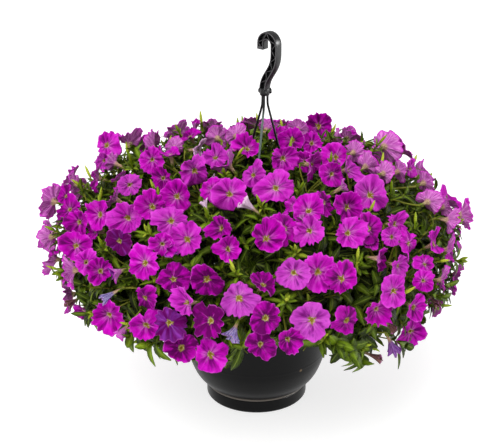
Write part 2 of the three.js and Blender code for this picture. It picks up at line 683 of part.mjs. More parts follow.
// A side shoot of a stem, with a whorl of leaves that reaches the dome between the blooms. It takes the
// first root, turn and size that are free.
function shootSolid(name, stem, tip) {
  const scales = Array.from({ length: SHOOT.leaves }, () => 1 + spread(shaping, LEAF.spread));
  const stemFoot = stem.route[stem.route.length - 2];
  for (const [size, depth] of SHOOT.depths.flatMap((down) => SHOOT.sizes.map((scale) => [scale, down])))
    for (const slope of SHOOT.slopes)
      for (let k = 0; k < SHOOT.turns; k += 1) {
        const end = tip.clone().addScaledVector(domeNormal(tip), -depth);
        const root = branchPoint(stemFoot, stem.hub, end, slope, SHOOT.least);
        const spin = (TURN * k) / SHOOT.turns / SHOOT.leaves;
        const shoot = whorlSolid(root, end, spin, scales.map((scale) => scale * size));
        if (!clearOf(name, shoot)) continue;
        stand(name, shoot);
        return shoot;
      }
  return null;
}

function potSolid() {
  const parts = [solidOf(lathe(BOWL_PROFILE))];
  for (const azimuth of STRAND.azimuths) {
    const lug = new THREE.BoxGeometry(LUG.outer - LUG.inner, LUG.width, LUG.top - LUG.bottom)
      .translate((LUG.outer + LUG.inner) / 2, 0, (LUG.top + LUG.bottom) / 2)
      .rotateZ(azimuth * DEGREE);
    parts.push(solidOf(lug));
  }
  const holes = STRAND.azimuths.map((azimuth) => {
    const place = polar(STRAND.lugRing, azimuth, LUG.bottom);
    return solidOf(cylinder(LUG.holeRadius, 20, 8).translate(place.x, place.y, place.z));
  });
  for (let k = 0; k < DRAIN.count; k += 1) {
    const place = polar(DRAIN.ring, 45 + (360 * k) / DRAIN.count, 8);
    holes.push(solidOf(cylinder(DRAIN.radius, 12, 6).translate(place.x, place.y, place.z)));
  }
  return wasm.Manifold.union(parts).subtract(wasm.Manifold.union(holes));
}

// Potting soil with a plain hole for each stem.
function soilSolid(stems) {
  const holes = stems.map(({ start }) => {
    const foot = start.clone().setZ(start.z - CLEARANCE);
    const radius = STEM.radius + STEM.holeRoom;
    return tube([foot, foot.clone().setZ(SOIL_CROWN + 20)], [radius, radius], STEM.sides);
  });
  return solidOf(lathe(SOIL_PROFILE)).subtract(wasm.Manifold.union(holes));
}

// The middle line of a strand, from its lug up to its socket in the collar.
function strandLine(azimuth) {
  const hub = vec(...HUB, 0);
  const lug = polar(STRAND.lugRing, azimuth, (LUG.bottom + LUG.top) / 2);
  const bend = polar(STRAND.topRing + 2.2, azimuth, STRAND.bendHeight).add(hub);
  const down = lug.clone().sub(bend).normalize();
  const headTop = LUG.bottom - CLEARANCE;
  return [
    lug.clone().addScaledVector(down, (headTop - 1.2 - lug.z) / down.z),
    bend,
    polar(STRAND.topRing + 0.3, azimuth, STRAND.bendHeight + 10).add(hub),
    polar(STRAND.topRing, azimuth, STRAND.topHeight).add(hub),
  ];
}

// A strand with a flat head under its lug.
function strandSolid(azimuth) {
  const points = strandLine(azimuth);
  const headTop = LUG.bottom - CLEARANCE;
  const head = cylinder(STRAND.headRadius, STRAND.headHeight, 8)
    .translate(points[0].x, points[0].y, headTop - STRAND.headHeight / 2);
  const shaft = tube(points, points.map(() => STRAND.radius), STRAND.sides);
  return shaft.add(solidOf(head));
}

// The hook's middle line in its own plane, from the collar up, round the arch and down to the tip.
function hookLine() {
  const line = new THREE.CubicBezierCurve(
    new THREE.Vector2(0, COLLAR.top - 2), new THREE.Vector2(1, COLLAR.top + 26),
    new THREE.Vector2(HOOK.backOffset, HOOK.backHeight - 32),
    new THREE.Vector2(HOOK.backOffset, HOOK.backHeight),
  ).getPoints(HOOK.stemSteps);
  const middle = HOOK.backOffset - HOOK.archRadius;
  for (let k = 0; k <= HOOK.archSteps; k += 1) {
    const angle = (Math.PI * k) / HOOK.archSteps;
    line.push(new THREE.Vector2(
      middle + HOOK.archRadius * Math.cos(angle),
      HOOK.archHeight + HOOK.archRadius * Math.sin(angle),
    ));
  }
  line.push(new THREE.Vector2(middle - HOOK.archRadius, HOOK.tipHeight));
  return line;
}

// A line moved sideways by a distance, to its left if positive.
function offsetLine(line, distance) {
  return line.map((point, k) => {
    const before = line[Math.max(k - 1, 0)];
    const after = line[Math.min(k + 1, line.length - 1)];
    const along = after.clone().sub(before).normalize();
    return new THREE.Vector2(point.x - along.y * distance, point.y + along.x * distance);
  });
}

// Points at even steps along a line.
function stepsAlong(line, pitch) {
  const path = new THREE.CurvePath();
  for (let k = 1; k < line.length; k += 1) path.add(new THREE.LineCurve(line[k - 1], line[k]));
  return path.getSpacedPoints(Math.round(path.getLength() / pitch));
}

// The hook: an I-section with diagonal ribs in both of its sides, on a collar with a round boss for
// each strand.
function hookSolid() {
  const line = hookLine();
  const half = HOOK.thickness / 2;
  const extrude = (outline, depth, from) =>
    new THREE.ExtrudeGeometry(new THREE.Shape(outline), { depth, bevelEnabled: false }).translate(0, 0, from);
  const outline = [...offsetLine(line, half), ...offsetLine(line, -half).reverse()];
  let body = solidOf(extrude(outline, HOOK.width, -HOOK.width / 2));
  const nodes = stepsAlong(line, HOOK.ribPitch);
  const inner = half - HOOK.flange;
  const zigzag = offsetLine(nodes, inner).map((p, k) => (k % 2 ? p : offsetLine(nodes, -inner)[k]));
  const pocketDepth = (HOOK.width - HOOK.web) / 2;
  const pockets = [];
  for (let k = 2; k + 1 < zigzag.length; k += 1) {
    const corners = [zigzag[k - 1], zigzag[k], zigzag[k + 1]];
    const middle = corners.reduce((sum, p) => sum.add(p), new THREE.Vector2()).divideScalar(3);
    const shrunk = corners.map((p) => p.clone().lerp(middle, HOOK.rib / 4));
    const area = shrunk[1].clone().sub(shrunk[0]).cross(shrunk[2].clone().sub(shrunk[0]));
    const ordered = area < 0 ? shrunk.reverse() : shrunk;
    pockets.push(solidOf(extrude(ordered, pocketDepth + 1, HOOK.web / 2)));
    pockets.push(solidOf(extrude(ordered, pocketDepth + 1, -HOOK.width / 2 - 1)));
  }
  body = body.subtract(wasm.Manifold.union(pockets));
  const placed = solidOf(geometryOf(body).rotateX(Math.PI / 2).rotateZ(HOOK.azimuth * DEGREE));
  const collarHeight = COLLAR.top - COLLAR.bottom;
  const collar = cylinder(COLLAR.radius, collarHeight, 12)
    .translate(0, 0, COLLAR.bottom + collarHeight / 2);
  const bosses = STRAND.azimuths.map((azimuth) => solidOf(
    new THREE.CylinderGeometry(COLLAR.bossRadius, COLLAR.bossRadius, COLLAR.bossReach, 8)
      .rotateZ(Math.PI / 2)
      .translate(COLLAR.bossReach / 2, 0, COLLAR.bossHeight)
      .rotateZ(azimuth * DEGREE),
  ));
  const sockets = STRAND.azimuths.map((azimuth) => {
    const place = polar(STRAND.topRing, azimuth, COLLAR.bottom);
    const depth = STRAND.topHeight + CLEARANCE - COLLAR.bottom;
    const socket = cylinder(STRAND.radius + SOCKET_ROOM, 2 * depth, 8);
    return solidOf(socket.translate(place.x, place.y, place.z));
  });
  return wasm.Manifold.union([placed, solidOf(collar), ...bosses])
    .subtract(wasm.Manifold.union(sockets))
    .translate(...HUB, 0);
}

const material = (color, roughness) => new THREE.MeshStandardMaterial({ color, roughness, metalness: 0 });
const MATERIALS = {
  pot: material(0x2a2a2c, 0.55),
  hanger: material(0x18181a, 0.35),
  soil: material(0x3a2a1c, 0.95),
  leaf: material(0x4c7a24, 0.6),
  petal: material(0xc02cb4, 0.55),
};

const basket = new THREE.Group();
function addNode(name, body, finish) {
  const mesh = new THREE.Mesh(geometryOf(body), finish);
  mesh.name = name;
  basket.add(mesh);
  stand(name, body);
}

const stems = placeStems();
const blooms = growBlooms(placeBlooms(), stems);
for (const tip of placeShoots(blooms)) nearest(stems, tip, (s) => s.crown).shoots.push(tip);
const numbered = (name, k) => `${name}_${String(k + 1).padStart(2, "0")}`;

addNode("pot", potSolid(), MATERIALS.pot);
addNode("drip_saucer", solidOf(lathe(SAUCER_PROFILE)), MATERIALS.pot);
addNode("soil", soilSolid(stems), MATERIALS.soil);
addNode("hook", hookSolid(), MATERIALS.hanger);
STRAND.azimuths.forEach((azimuth, k) => {
  addNode(`strand_${k + 1}`, strandSolid(azimuth), MATERIALS.hanger);
});
stems.forEach((stem, k) => {
  const spray = wasm.Manifold.union(stem.blooms.map(bloomSolid));
  addNode(numbered("bloom_spray", k), spray, MATERIALS.petal);
});

const green = stems.map(stemSolid);
green.forEach((body, k) => stand(numbered("leafy_stem", k), body));
stems.forEach((stem, k) => {
  const name = numbered("leafy_stem", k);
  const shoots = stem.shoots.map((tip) => shootSolid(name, stem, tip)).filter((shoot) => shoot);
  addNode(name, wasm.Manifold.union([green[k], ...shoots]), MATERIALS.leaf);
});

export default basket;
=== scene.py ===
# %% [markdown]
# A petunia hanging basket
#
# The basket is a charcoal plastic bowl with a clip-on saucer, three thin strands that rise to a hook, and a
# plant that has grown into a broad dome of magenta blooms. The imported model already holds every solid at
# its real size. This lesson dresses it: each bloom, leaf, stem and moulded part becomes a smooth surface
# with its own finish.

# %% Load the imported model
import math

import bpy
import numpy as np
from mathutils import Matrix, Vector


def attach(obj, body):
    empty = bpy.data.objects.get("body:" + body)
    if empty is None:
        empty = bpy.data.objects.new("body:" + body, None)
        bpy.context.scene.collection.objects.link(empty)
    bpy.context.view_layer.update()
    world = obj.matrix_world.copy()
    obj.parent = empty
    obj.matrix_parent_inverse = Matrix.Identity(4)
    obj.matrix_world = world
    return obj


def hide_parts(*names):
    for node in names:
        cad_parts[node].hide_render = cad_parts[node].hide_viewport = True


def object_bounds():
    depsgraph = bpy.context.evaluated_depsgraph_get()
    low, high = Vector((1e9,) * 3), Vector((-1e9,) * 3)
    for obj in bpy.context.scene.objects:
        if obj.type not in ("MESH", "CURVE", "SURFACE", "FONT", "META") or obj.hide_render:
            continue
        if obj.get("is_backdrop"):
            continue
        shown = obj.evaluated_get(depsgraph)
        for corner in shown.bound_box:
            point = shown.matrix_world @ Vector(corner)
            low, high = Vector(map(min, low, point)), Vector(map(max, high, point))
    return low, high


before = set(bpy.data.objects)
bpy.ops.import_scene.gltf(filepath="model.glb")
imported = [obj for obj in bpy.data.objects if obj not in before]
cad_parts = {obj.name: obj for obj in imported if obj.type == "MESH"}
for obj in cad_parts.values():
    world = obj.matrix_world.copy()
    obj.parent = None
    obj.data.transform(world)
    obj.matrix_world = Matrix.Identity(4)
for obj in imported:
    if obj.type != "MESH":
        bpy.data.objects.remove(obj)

cad_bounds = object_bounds()
print("nodes in the packed model:", len(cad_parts))

# %% [markdown]
# Every surface of the basket is a stack of rings with a point at each end: a stem is rings along a path, a
# bowl is rings round an axis, a leaf is flat rings from its base to its tip, and a bloom is rings that go
# up the tube, out under the petals, over the edge and back down the throat. So one builder is enough. It
# takes the rings of many copies at once as one array, which keeps thousands of leaves quick.

# %% The builder of ringed surfaces
MM = 0.001


def linked(name, data):
    """An object of this mesh, light or camera, in the scene."""
    made = bpy.data.objects.new(name, data)
    bpy.context.scene.collection.objects.link(made)
    return made


class Surface:
    """Collects ringed surfaces in millimetres and turns them into one mesh in metres."""

    def __init__(self):
        self.points, self.arounds, self.marks, self.quads, self.triangles = [], [], [], [], []
        self.quad_slots, self.triangle_slots = [], []
        self.count = 0

    def add(self, rings, around, mark, slot=0):
        """Adds copies of a surface. rings has the shape (copies, rings, points, 3), and so have around and
        mark, the numbers that the materials read. Neighbouring rings are joined by quads, and a fan to the
        middle of the first and of the last ring closes the ends. slot is the number of the material."""
        copies, rows, columns, _ = rings.shape
        for values, kept in ((rings, self.points), (around, self.arounds), (mark, self.marks)):
            values = np.broadcast_to(values, rings.shape)
            body = values.reshape(copies, rows * columns, 3)
            ends = [values[:, row].mean(axis=1, keepdims=True) for row in (0, -1)]
            kept.append(np.concatenate([body, *ends], axis=1).reshape(-1, 3))
        size = rows * columns + 2
        start = self.count + size * np.arange(copies)
        row, column = np.meshgrid(np.arange(rows - 1), np.arange(columns), indexing="ij")
        beside = (column + 1) % columns
        corner = lambda r, c: (r * columns + c).reshape(1, -1)
        quads = np.stack([corner(row, column), corner(row, beside),
                          corner(row + 1, beside), corner(row + 1, column)], -1)
        self.quads.append((quads + start[:, None, None]).reshape(-1, 4))
        here = np.arange(columns)
        onwards = (here + 1) % columns
        last = (rows - 1) * columns
        low_fan = np.stack([onwards, here, np.full(columns, rows * columns)], -1)
        high_fan = np.stack([last + here, last + onwards, np.full(columns, rows * columns + 1)], -1)
        fans = np.concatenate([low_fan, high_fan])
        self.triangles.append((fans[None] + start[:, None, None]).reshape(-1, 3))
        self.quad_slots.append(np.full(copies * (rows - 1) * columns, slot))
        self.triangle_slots.append(np.full(copies * 2 * columns, slot))
        self.count += size * copies

    def piece(self, name, materials):
        """Makes the object, smooth all over, with around and mark as attributes of its points."""
        points = np.concatenate(self.points) * MM
        quads, triangles = np.concatenate(self.quads), np.concatenate(self.triangles)
        corners = np.concatenate([quads.ravel(), triangles.ravel()])
        sizes = np.concatenate([np.full(len(quads), 4), np.full(len(triangles), 3)])
        mesh = bpy.data.meshes.new(name)
        mesh.vertices.add(len(points))
        mesh.vertices.foreach_set("co", points.astype(np.float32).ravel())
        mesh.loops.add(len(corners))
        mesh.loops.foreach_set("vertex_index", corners.astype(np.int32))
        mesh.polygons.add(len(sizes))
        mesh.polygons.foreach_set("loop_start", (np.cumsum(sizes) - sizes).astype(np.int32))
        slots = np.concatenate([*self.quad_slots, *self.triangle_slots])
        mesh.polygons.foreach_set("material_index", slots.astype(np.int32))
        mesh.polygons.foreach_set("use_smooth", np.ones(len(sizes), dtype=bool))
        mesh.update(calc_edges=True)
        for label, values in (("around", self.arounds), ("mark", self.marks)):
            attribute = mesh.attributes.new(label, "FLOAT_VECTOR", "POINT")
            attribute.data.foreach_set("vector", np.concatenate(values).astype(np.float32).ravel())
        for material in materials:
            mesh.materials.append(material)
        self.triangle_count = 2 * len(quads) + len(triangles)
        return linked(name, mesh)


print("the surface builder is ready")


# %% Directions, tubes and curves
def unit(vectors):
    """Each vector divided by its own length."""
    return vectors / np.linalg.norm(vectors, axis=-1, keepdims=True)


def round_angles(count):
    """Even angles round a circle, in radians."""
    return 2 * np.pi * np.arange(count) / count


def column(records, name):
    """The named value of each record, as one array."""
    return np.array([record[name] for record in records])


def over_rings(values):
    """One value for each copy, ready to be spread over its rings and their points."""
    return values[:, None, None]


def spokes(side, up, angles):
    """Directions at angles round the circle that side and up span."""
    return side * np.cos(angles)[..., None] + up * np.sin(angles)[..., None]


def across(axes, spins=0.0):
    """Two unit vectors across each axis. The first is level, or near it, then turned about the axis by the
    spin."""
    axes = unit(np.asarray(axes, dtype=float))
    steep = np.abs(axes[..., 2:]) >= 0.9
    helper = np.where(steep, [0.0, 1.0, 0.0], [0.0, 0.0, 1.0])
    side = unit(np.cross(helper, axes))
    up = np.cross(axes, side)
    return spokes(side, up, spins), spokes(up, -side, spins)


def tubes(paths, radii, sides):
    """Rings along many paths. paths is (copies, steps, 3) and radii (copies, steps). Each ring is a circle
    across the path's own direction, turned from a direction square to the whole path, so that neighbours
    don't twist."""
    ahead = unit(np.gradient(paths, axis=1))
    chord = paths[:, -1] - paths[:, 0]
    square = across(chord)[0][:, None]
    side = unit(square - ahead * (square * ahead).sum(-1, keepdims=True))
    up = np.cross(ahead, side)
    around = spokes(side[:, :, None], up[:, :, None], round_angles(sides))
    return paths[:, :, None] + radii[..., None, None] * around


def cubic(corners, steps):
    """Points on cubic curves from the first corner to the last, drawn by two handles between. corners is
    (copies, 4, 3)."""
    t = np.linspace(0, 1, steps)
    weights = np.stack([(1 - t) ** 3, 3 * t * (1 - t) ** 2, 3 * t * t * (1 - t), t ** 3])
    return np.einsum("ws,nwk->nsk", weights, corners)


straight = np.array([[[0, 0, 0], [0, 0, 1], [0, 0, 2.0]]])
print("copies, rings and points of a short tube:", tubes(straight, np.ones((1, 3)), 8).shape[:3])

# %% [markdown]
# The blooms stand where the solids have them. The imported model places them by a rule: the front ones lie
# where the photograph shows them, on the dome, and the others on an even spiral. A bloom that is crowded
# grows from another depth, looks more outwards, or stays smaller. This lesson repeats that rule, in
# millimetres, so each fine bloom meets its solid one.

# %% The dome and the line of sight
# The dome is a superellipse turned about the bowl's axis. Its widest part is at the middle, and it rises
# above and hangs below that by up and down, in mm.
DOME = {"radius": 368, "middle": 300, "up": 176, "down": 148, "power": 2.3}
# The camera's place in mm, how far it looks down, its focal length in pixels, and the middle of the
# picture.
EYE = np.array([-12.0, -2285.0, 1282.0])
PITCH = math.radians(22.6)
FOCAL = 1400
MIDDLE = (250, 224)
FORWARD = np.array([0, math.cos(PITCH), -math.sin(PITCH)])
UPWARD = np.array([0, math.sin(PITCH), math.cos(PITCH)])
# How far from the camera a line of sight is followed, and in what steps, in mm.
SIGHT = {"start": 1600, "end": 3200, "step": 2}
# Where the bowl shows below the plant, in pixels.
BARE_BOWL = {"left": 192, "right": 322, "top": 347}


def tall(z):
    """The dome's height above its middle, or below it for a point that is lower."""
    return np.where(z > DOME["middle"], DOME["up"], DOME["down"])


def dome_share(p):
    """How far out a point lies: the superellipse's sum of powers, which is 1 on the dome."""
    r = np.hypot(p[..., 0], p[..., 1]) / DOME["radius"]
    rise = (p[..., 2] - DOME["middle"]) / tall(p[..., 2])
    return r ** DOME["power"] + np.abs(rise) ** DOME["power"]


def dome_normal(p):
    """The outward direction, from the slope of the sum of powers."""
    r = np.maximum(np.hypot(p[..., 0], p[..., 1]), 1e-6)
    height = tall(p[..., 2])
    out = (r / DOME["radius"]) ** (DOME["power"] - 1) / DOME["radius"]
    rise = (np.abs(p[..., 2] - DOME["middle"]) / height) ** (DOME["power"] - 1) / height
    lift = np.sign(p[..., 2] - DOME["middle"]) * rise
    return unit(np.stack([out * p[..., 0] / r, out * p[..., 1] / r, lift], -1))


def dome_point(azimuth, z):
    """The dome's point at an azimuth in degrees and a height."""
    rise = np.abs(z - DOME["middle"]) / tall(z)
    r = DOME["radius"] * np.maximum(1 - rise ** DOME["power"], 0) ** (1 / DOME["power"])
    angle = np.radians(azimuth)
    return np.stack([r * np.cos(angle), r * np.sin(angle), z + 0 * r], -1)


def seen_at(points):
    """Where points show in the picture, in pixels: the distances aside and up, divided by the distance
    ahead."""
    off = points - EYE
    ahead = off @ FORWARD
    return MIDDLE[0] + FOCAL * off[..., 0] / ahead, MIDDLE[1] - FOCAL * (off @ UPWARD) / ahead


def before_bowl(points):
    """Whether points would hide the part of the bowl that shows below the plant."""
    x, y = seen_at(points)
    return (x > BARE_BOWL["left"]) & (x < BARE_BOWL["right"]) & (y > BARE_BOWL["top"])


def seen_point(x, y):
    """Where the line of sight through a pixel meets the dome, or passes nearest to it."""
    sight = unit(FORWARD + np.array([1, 0, 0]) * (x - MIDDLE[0]) / FOCAL + UPWARD * (MIDDLE[1] - y) / FOCAL)
    line = EYE + sight * np.arange(SIGHT["start"], SIGHT["end"], SIGHT["step"])[:, None]
    share = dome_share(line)
    inside = np.flatnonzero(share < 1)
    return line[inside[0]] if len(inside) else line[np.argmin(share)]


print("the middle of the picture falls on the dome at, in mm:", seen_point(*MIDDLE).round())


# %% The draws and the even spiral
def draws(start):
    """A random generator with a fixed start. It is simple enough to be alike in every language."""
    state = start
    while True:
        state = state * 16807 % 2147483647
        yield state / 2147483647


placing = draws(20263)


def spread(amount):
    """A draw between minus the amount and the amount."""
    return (2 * next(placing) - 1) * amount


GOLDEN_ANGLE = 137.50776
SLICES = 400


def spiral_places(count, lowest, jitter):
    """Places with equal areas of the dome round them, down to a height, each a golden angle on from the
    last, and shaken a little."""
    top = DOME["middle"] + DOME["up"]
    heights = lowest + (top - lowest) * np.arange(SLICES + 1) / SLICES
    radii = dome_point(0, heights)[:, 0]
    slant = np.hypot(np.diff(radii), np.diff(heights))
    area = np.concatenate([[0], np.cumsum(slant * (radii[1:] + radii[:-1]) / 2)])
    places = []
    for n in range(count):
        wanted = area[-1] * (n + 0.5) / count
        k = np.searchsorted(area, wanted)
        share = (wanted - area[k - 1]) / (area[k] - area[k - 1])
        z = heights[k - 1] + share * (heights[k] - heights[k - 1]) + spread(jitter / 2)
        azimuth = n * GOLDEN_ANGLE + spread(jitter / 5)
        places.append(dome_point(azimuth, min(max(z, lowest), top - 1)))
    return np.array(places)


print("degrees from one place on the spiral to the next:", GOLDEN_ANGLE)

# %% The blooms that the photograph shows
# Each row gives a bloom's place and width in the picture in pixels, and the way it looks in degrees: how
# far its face turns to the right of the camera, and how far it lifts.
FRONT_BLOOMS = [
    [105, 144, 28, -20, 20], [130, 139, 27, 170, 65], [148, 146, 29, -100, 25], [152, 160, 24, 0, -10],
    [93, 177, 27, -70, 15], [73, 182, 23, -130, 25], [49, 201, 33, -120, 10], [68, 208, 26, -20, 20],
    [77, 222, 26, -30, 0], [48, 238, 23, -130, -10], [74, 246, 30, -25, -5], [98, 214, 30, -25, 10],
    [112, 197, 24, -80, 30], [130, 184, 23, 10, 10], [127, 218, 31, -15, 0], [152, 206, 31, 0, 10],
    [177, 196, 33, 0, 5], [163, 177, 22, 0, 20], [171, 221, 34, 0, 0], [187, 239, 34, -5, 5],
    [162, 244, 25, 0, 0], [194, 172, 30, 0, -20], [211, 190, 29, -20, 0], [230, 194, 32, 0, 0],
    [250, 174, 30, -50, 10], [201, 150, 22, 75, 0], [214, 156, 25, -30, 30], [215, 137, 26, -150, 20],
    [226, 162, 27, -90, 50], [236, 134, 23, 180, 30], [248, 147, 27, 10, 30], [219, 228, 28, -35, 0],
    [230, 249, 28, 25, 5], [118, 242, 27, -20, -15], [142, 263, 35, -35, 0], [276, 188, 38, 0, 0],
    [284, 158, 29, 10, 0], [291, 139, 25, -20, 20], [300, 128, 20, 150, 20], [318, 125, 28, -10, 10],
    [312, 142, 24, 0, 20], [316, 165, 32, 70, -5], [333, 174, 25, 20, 0], [336, 156, 28, 0, 10],
    [351, 169, 27, 60, 10], [340, 137, 23, 110, 15], [357, 151, 23, 130, 20], [369, 164, 26, 130, 30],
    [386, 145, 31, 150, 20], [386, 173, 23, 140, 10], [402, 170, 23, 120, 20], [428, 181, 26, 120, 20],
    [431, 200, 27, 130, 20], [452, 221, 27, 100, -10], [466, 215, 28, 95, 0], [371, 195, 36, 8, 0],
    [345, 186, 18, 90, 30], [327, 203, 26, 50, 0], [347, 207, 28, 0, 0], [309, 209, 33, 0, 25],
    [284, 229, 34, 0, 5], [266, 237, 35, -5, 0], [310, 231, 31, 0, 0], [348, 232, 32, 0, 10],
    [370, 229, 29, 20, 0], [398, 224, 28, 45, 0], [413, 244, 32, 60, -5], [437, 243, 29, 50, 20],
    [453, 250, 28, 80, 0], [383, 259, 26, 70, -5], [402, 267, 32, 70, -15], [428, 263, 27, 60, 20],
    [446, 280, 25, 95, 0], [69, 271, 30, -110, -5], [85, 262, 23, -10, 10], [100, 271, 28, 0, 5],
    [173, 278, 32, 0, 15], [207, 281, 34, 0, -15], [239, 298, 38, 5, 0], [142, 300, 30, -45, -30],
    [184, 303, 31, -55, 0], [107, 317, 33, -25, -25], [145, 328, 33, -10, -35], [169, 324, 34, 0, -10],
    [209, 321, 37, -15, 0], [181, 349, 32, 0, -5], [210, 356, 34, 0, -15], [265, 282, 31, 35, 40],
    [293, 273, 33, -10, 0], [318, 272, 36, 0, 0], [343, 279, 33, 12, 0], [266, 319, 35, 5, -5],
    [261, 346, 31, 10, -20], [288, 341, 28, 5, -25], [313, 321, 38, 8, -5], [349, 323, 31, 35, -30],
    [379, 311, 31, 35, -25], [396, 291, 31, 25, 0], [416, 308, 27, 35, -15], [413, 333, 29, 30, -20],
    [112, 162, 19, -110, 25], [103, 160, 16, -20, 10], [119, 176, 17, -100, 50], [176, 146, 20, 160, 30],
    [170, 152, 19, -20, 20], [189, 135, 20, -30, 40], [268, 127, 20, 150, 40], [279, 134, 19, 10, 30],
    [304, 161, 20, -20, 0], [291, 206, 19, -60, 10], [412, 169, 18, 40, 0], [446, 206, 21, 130, 10],
    [424, 281, 21, -30, -10], [64, 195, 21, -40, 20], [93, 231, 21, -70, -20], [370, 241, 20, 10, -20],
    [391, 237, 20, -20, 0],
]
print("blooms that the photograph shows:", len(FRONT_BLOOMS))

# %% The places and looks of all blooms
# Places on the spiral over the whole dome. The hidden ones are used: those where the dome faces the camera
# by less than the limit, which is the cosine of the angle between its normal and the line to the camera.
BLOOM_PLACES = 204
SEEN_LIMIT = 0.04
# The widths of the hidden blooms in mm, and how far each turns level, up and astray.
BLOOM_DIAMETER = (42, 58)
LOOK = {"level": 0.45, "lift": 0.3, "stray": 0.3}
# The lowest bloom in mm, the same for the hidden underside of the front, and the radius round the axis that
# stays bare where the strands leave the dome.
LOWEST_BLOOM = 168
LOWEST_FRONT = 222
BARE_TOP = 58


def seen_look(turn, lift):
    """The direction of a face that is turned and lifted by so many degrees from the camera."""
    turn, lift = math.radians(turn), math.radians(lift)
    level = math.sin(turn) * np.array([1, 0, 0]) - math.cos(turn) * FORWARD
    return math.cos(lift) * level + math.sin(lift) * UPWARD


def facing(place, out):
    """Which way a bloom on the hidden side looks: outwards, lifted towards the light, and a little
    astray."""
    level = unit(np.array([place[0], place[1], 0]))
    side, up = across(out)
    stray = LOOK["stray"]
    lift = np.array([0, 0, LOOK["lift"]])
    return unit(out + LOOK["level"] * level + lift + spread(stray) * side + spread(stray) * up)


def place_blooms():
    """All blooms, each with its place, the way it looks, the way it can shift, its radius and its turn
    about its own axis."""
    blooms = []
    for x, y, width, turn, lift in FRONT_BLOOMS:
        place = seen_point(x, y)
        radius = width * ((place - EYE) @ FORWARD) / FOCAL / 2
        looks = seen_look(turn, lift)
        blooms.append({"place": place, "radius": radius, "looks": looks, "rise": unit(EYE - place)})
    places = spiral_places(BLOOM_PLACES, LOWEST_BLOOM, 22)
    unseen = (dome_normal(places) * unit(EYE - places)).sum(-1) < SEEN_LIMIT
    off_axis = np.hypot(places[:, 0], places[:, 1]) > BARE_TOP
    under_front = (places[:, 1] < 0) & (places[:, 2] < LOWEST_FRONT)
    for place in places[unseen & off_axis & ~under_front]:
        width = BLOOM_DIAMETER[0] + next(placing) * (BLOOM_DIAMETER[1] - BLOOM_DIAMETER[0])
        out = dome_normal(place)
        blooms.append({"place": place, "radius": width / 2, "looks": facing(place, out), "rise": out})
    for bloom in blooms:
        bloom["out"] = dome_normal(bloom["place"])
        bloom["spin"] = next(placing) * 2 * np.pi
    return blooms


placed_blooms = place_blooms()
print("blooms on the whole dome:", len(placed_blooms))

# %% [markdown]
# Each of the 26 stems rises from the soil, bends outwards and ends in a stalk under its own part of the
# dome. The blooms of that part sit on the stalk by thin side stalks. Room is tested with balls along the
# stalks and with the shallow cone of each bloom, exactly as for the solids.

# %% The stems
# Each ring has its first azimuth, the height of its crowns, how much higher they are in front, where the
# plant leaves the bowl bare, and the radius at which its stems leave the soil.
STEM_RINGS = [
    {"count": 3, "first": 77, "height": 467, "front_lift": 0, "soil_ring": 22},
    {"count": 6, "first": 47, "height": 448, "front_lift": 0, "soil_ring": 47},
    {"count": 9, "first": 37, "height": 345, "front_lift": 0, "soil_ring": 74},
    {"count": 8, "first": 29, "height": 212, "front_lift": 60, "soil_ring": 101},
]
# A stem's hub lies so deep under its crown, and its stalk points away from the focus, a height on the axis.
# It starts in the soil, rises straight out of it, and its curve has two handles, rise and arrival, as
# shares of its reach. Off strand is degrees times radius, kept clear of a strand where a stem leaves the
# soil.
STEM = {"radius": 3.4, "tip_radius": 3, "hub_depth": 96, "focus": 205, "in_soil": 16, "straight": 8,
        "off_strand": 600, "rise": 0.42, "arrival": 0.36}
STALK = {"radius": 3.1, "tip_radius": 2.7, "tip_depth": 44}
SOIL_TOP = 138
STRAND_AZIMUTHS = [17, 137, 257]
BALL_SPACING = 4


def polar(radius, azimuth, z):
    """The point at a radius, an azimuth in degrees and a height."""
    angle = math.radians(azimuth)
    return np.array([radius * math.cos(angle), radius * math.sin(angle), z])


def clear_azimuth(azimuth, room):
    """An azimuth moved off the strands of the hanger."""
    for strand in STRAND_AZIMUTHS:
        off = (azimuth - strand + 540) % 360 - 180
        if abs(off) < room:
            return strand + (-room if off < 0 else room)
    return azimuth


def balls_along(start, end, radius_from, radius_to):
    """Balls on a straight line, as rows of x, y, z and radius."""
    count = math.ceil(np.linalg.norm(end - start) / BALL_SPACING)
    share = np.arange(count + 1)[:, None] / count
    return np.hstack([start + (end - start) * share, radius_from + (radius_to - radius_from) * share])


def place_stems():
    """The crown, hub, stalk tip and route of every stem."""
    stems = []
    for ring in STEM_RINGS:
        for k in range(ring["count"]):
            azimuth = ring["first"] + 360 * k / ring["count"]
            front = max(-math.sin(math.radians(azimuth)), 0) ** 4
            crown = dome_point(azimuth, np.float64(ring["height"] + ring["front_lift"] * front))
            outward = unit(crown - np.array([0, 0, STEM["focus"]]))
            hub = crown - outward * STEM["hub_depth"]
            tip = crown - outward * STALK["tip_depth"]
            angle = clear_azimuth(azimuth, STEM["off_strand"] / ring["soil_ring"])
            start = polar(ring["soil_ring"], angle, SOIL_TOP - STEM["in_soil"])
            soil = np.array([start[0], start[1], SOIL_TOP + STEM["straight"]])
            reach = np.linalg.norm(hub - soil)
            above = soil + np.array([0, 0, STEM["rise"] * reach])
            corners = [soil, above, hub - outward * STEM["arrival"] * reach, hub]
            route = np.vstack([start, cubic(np.array([corners]), 4)[0]])
            balls = [balls_along(a, b, STEM["radius"], STEM["radius"]) for a, b in zip(route, route[1:])]
            stems.append({
                "crown": crown, "outward": outward, "hub": hub, "tip": tip, "blooms": [],
                "start": start, "corners": corners, "route": route, "route_balls": np.vstack(balls),
                "stalk_balls": balls_along(hub, tip, STALK["radius"], STALK["radius"]),
            })
    return stems


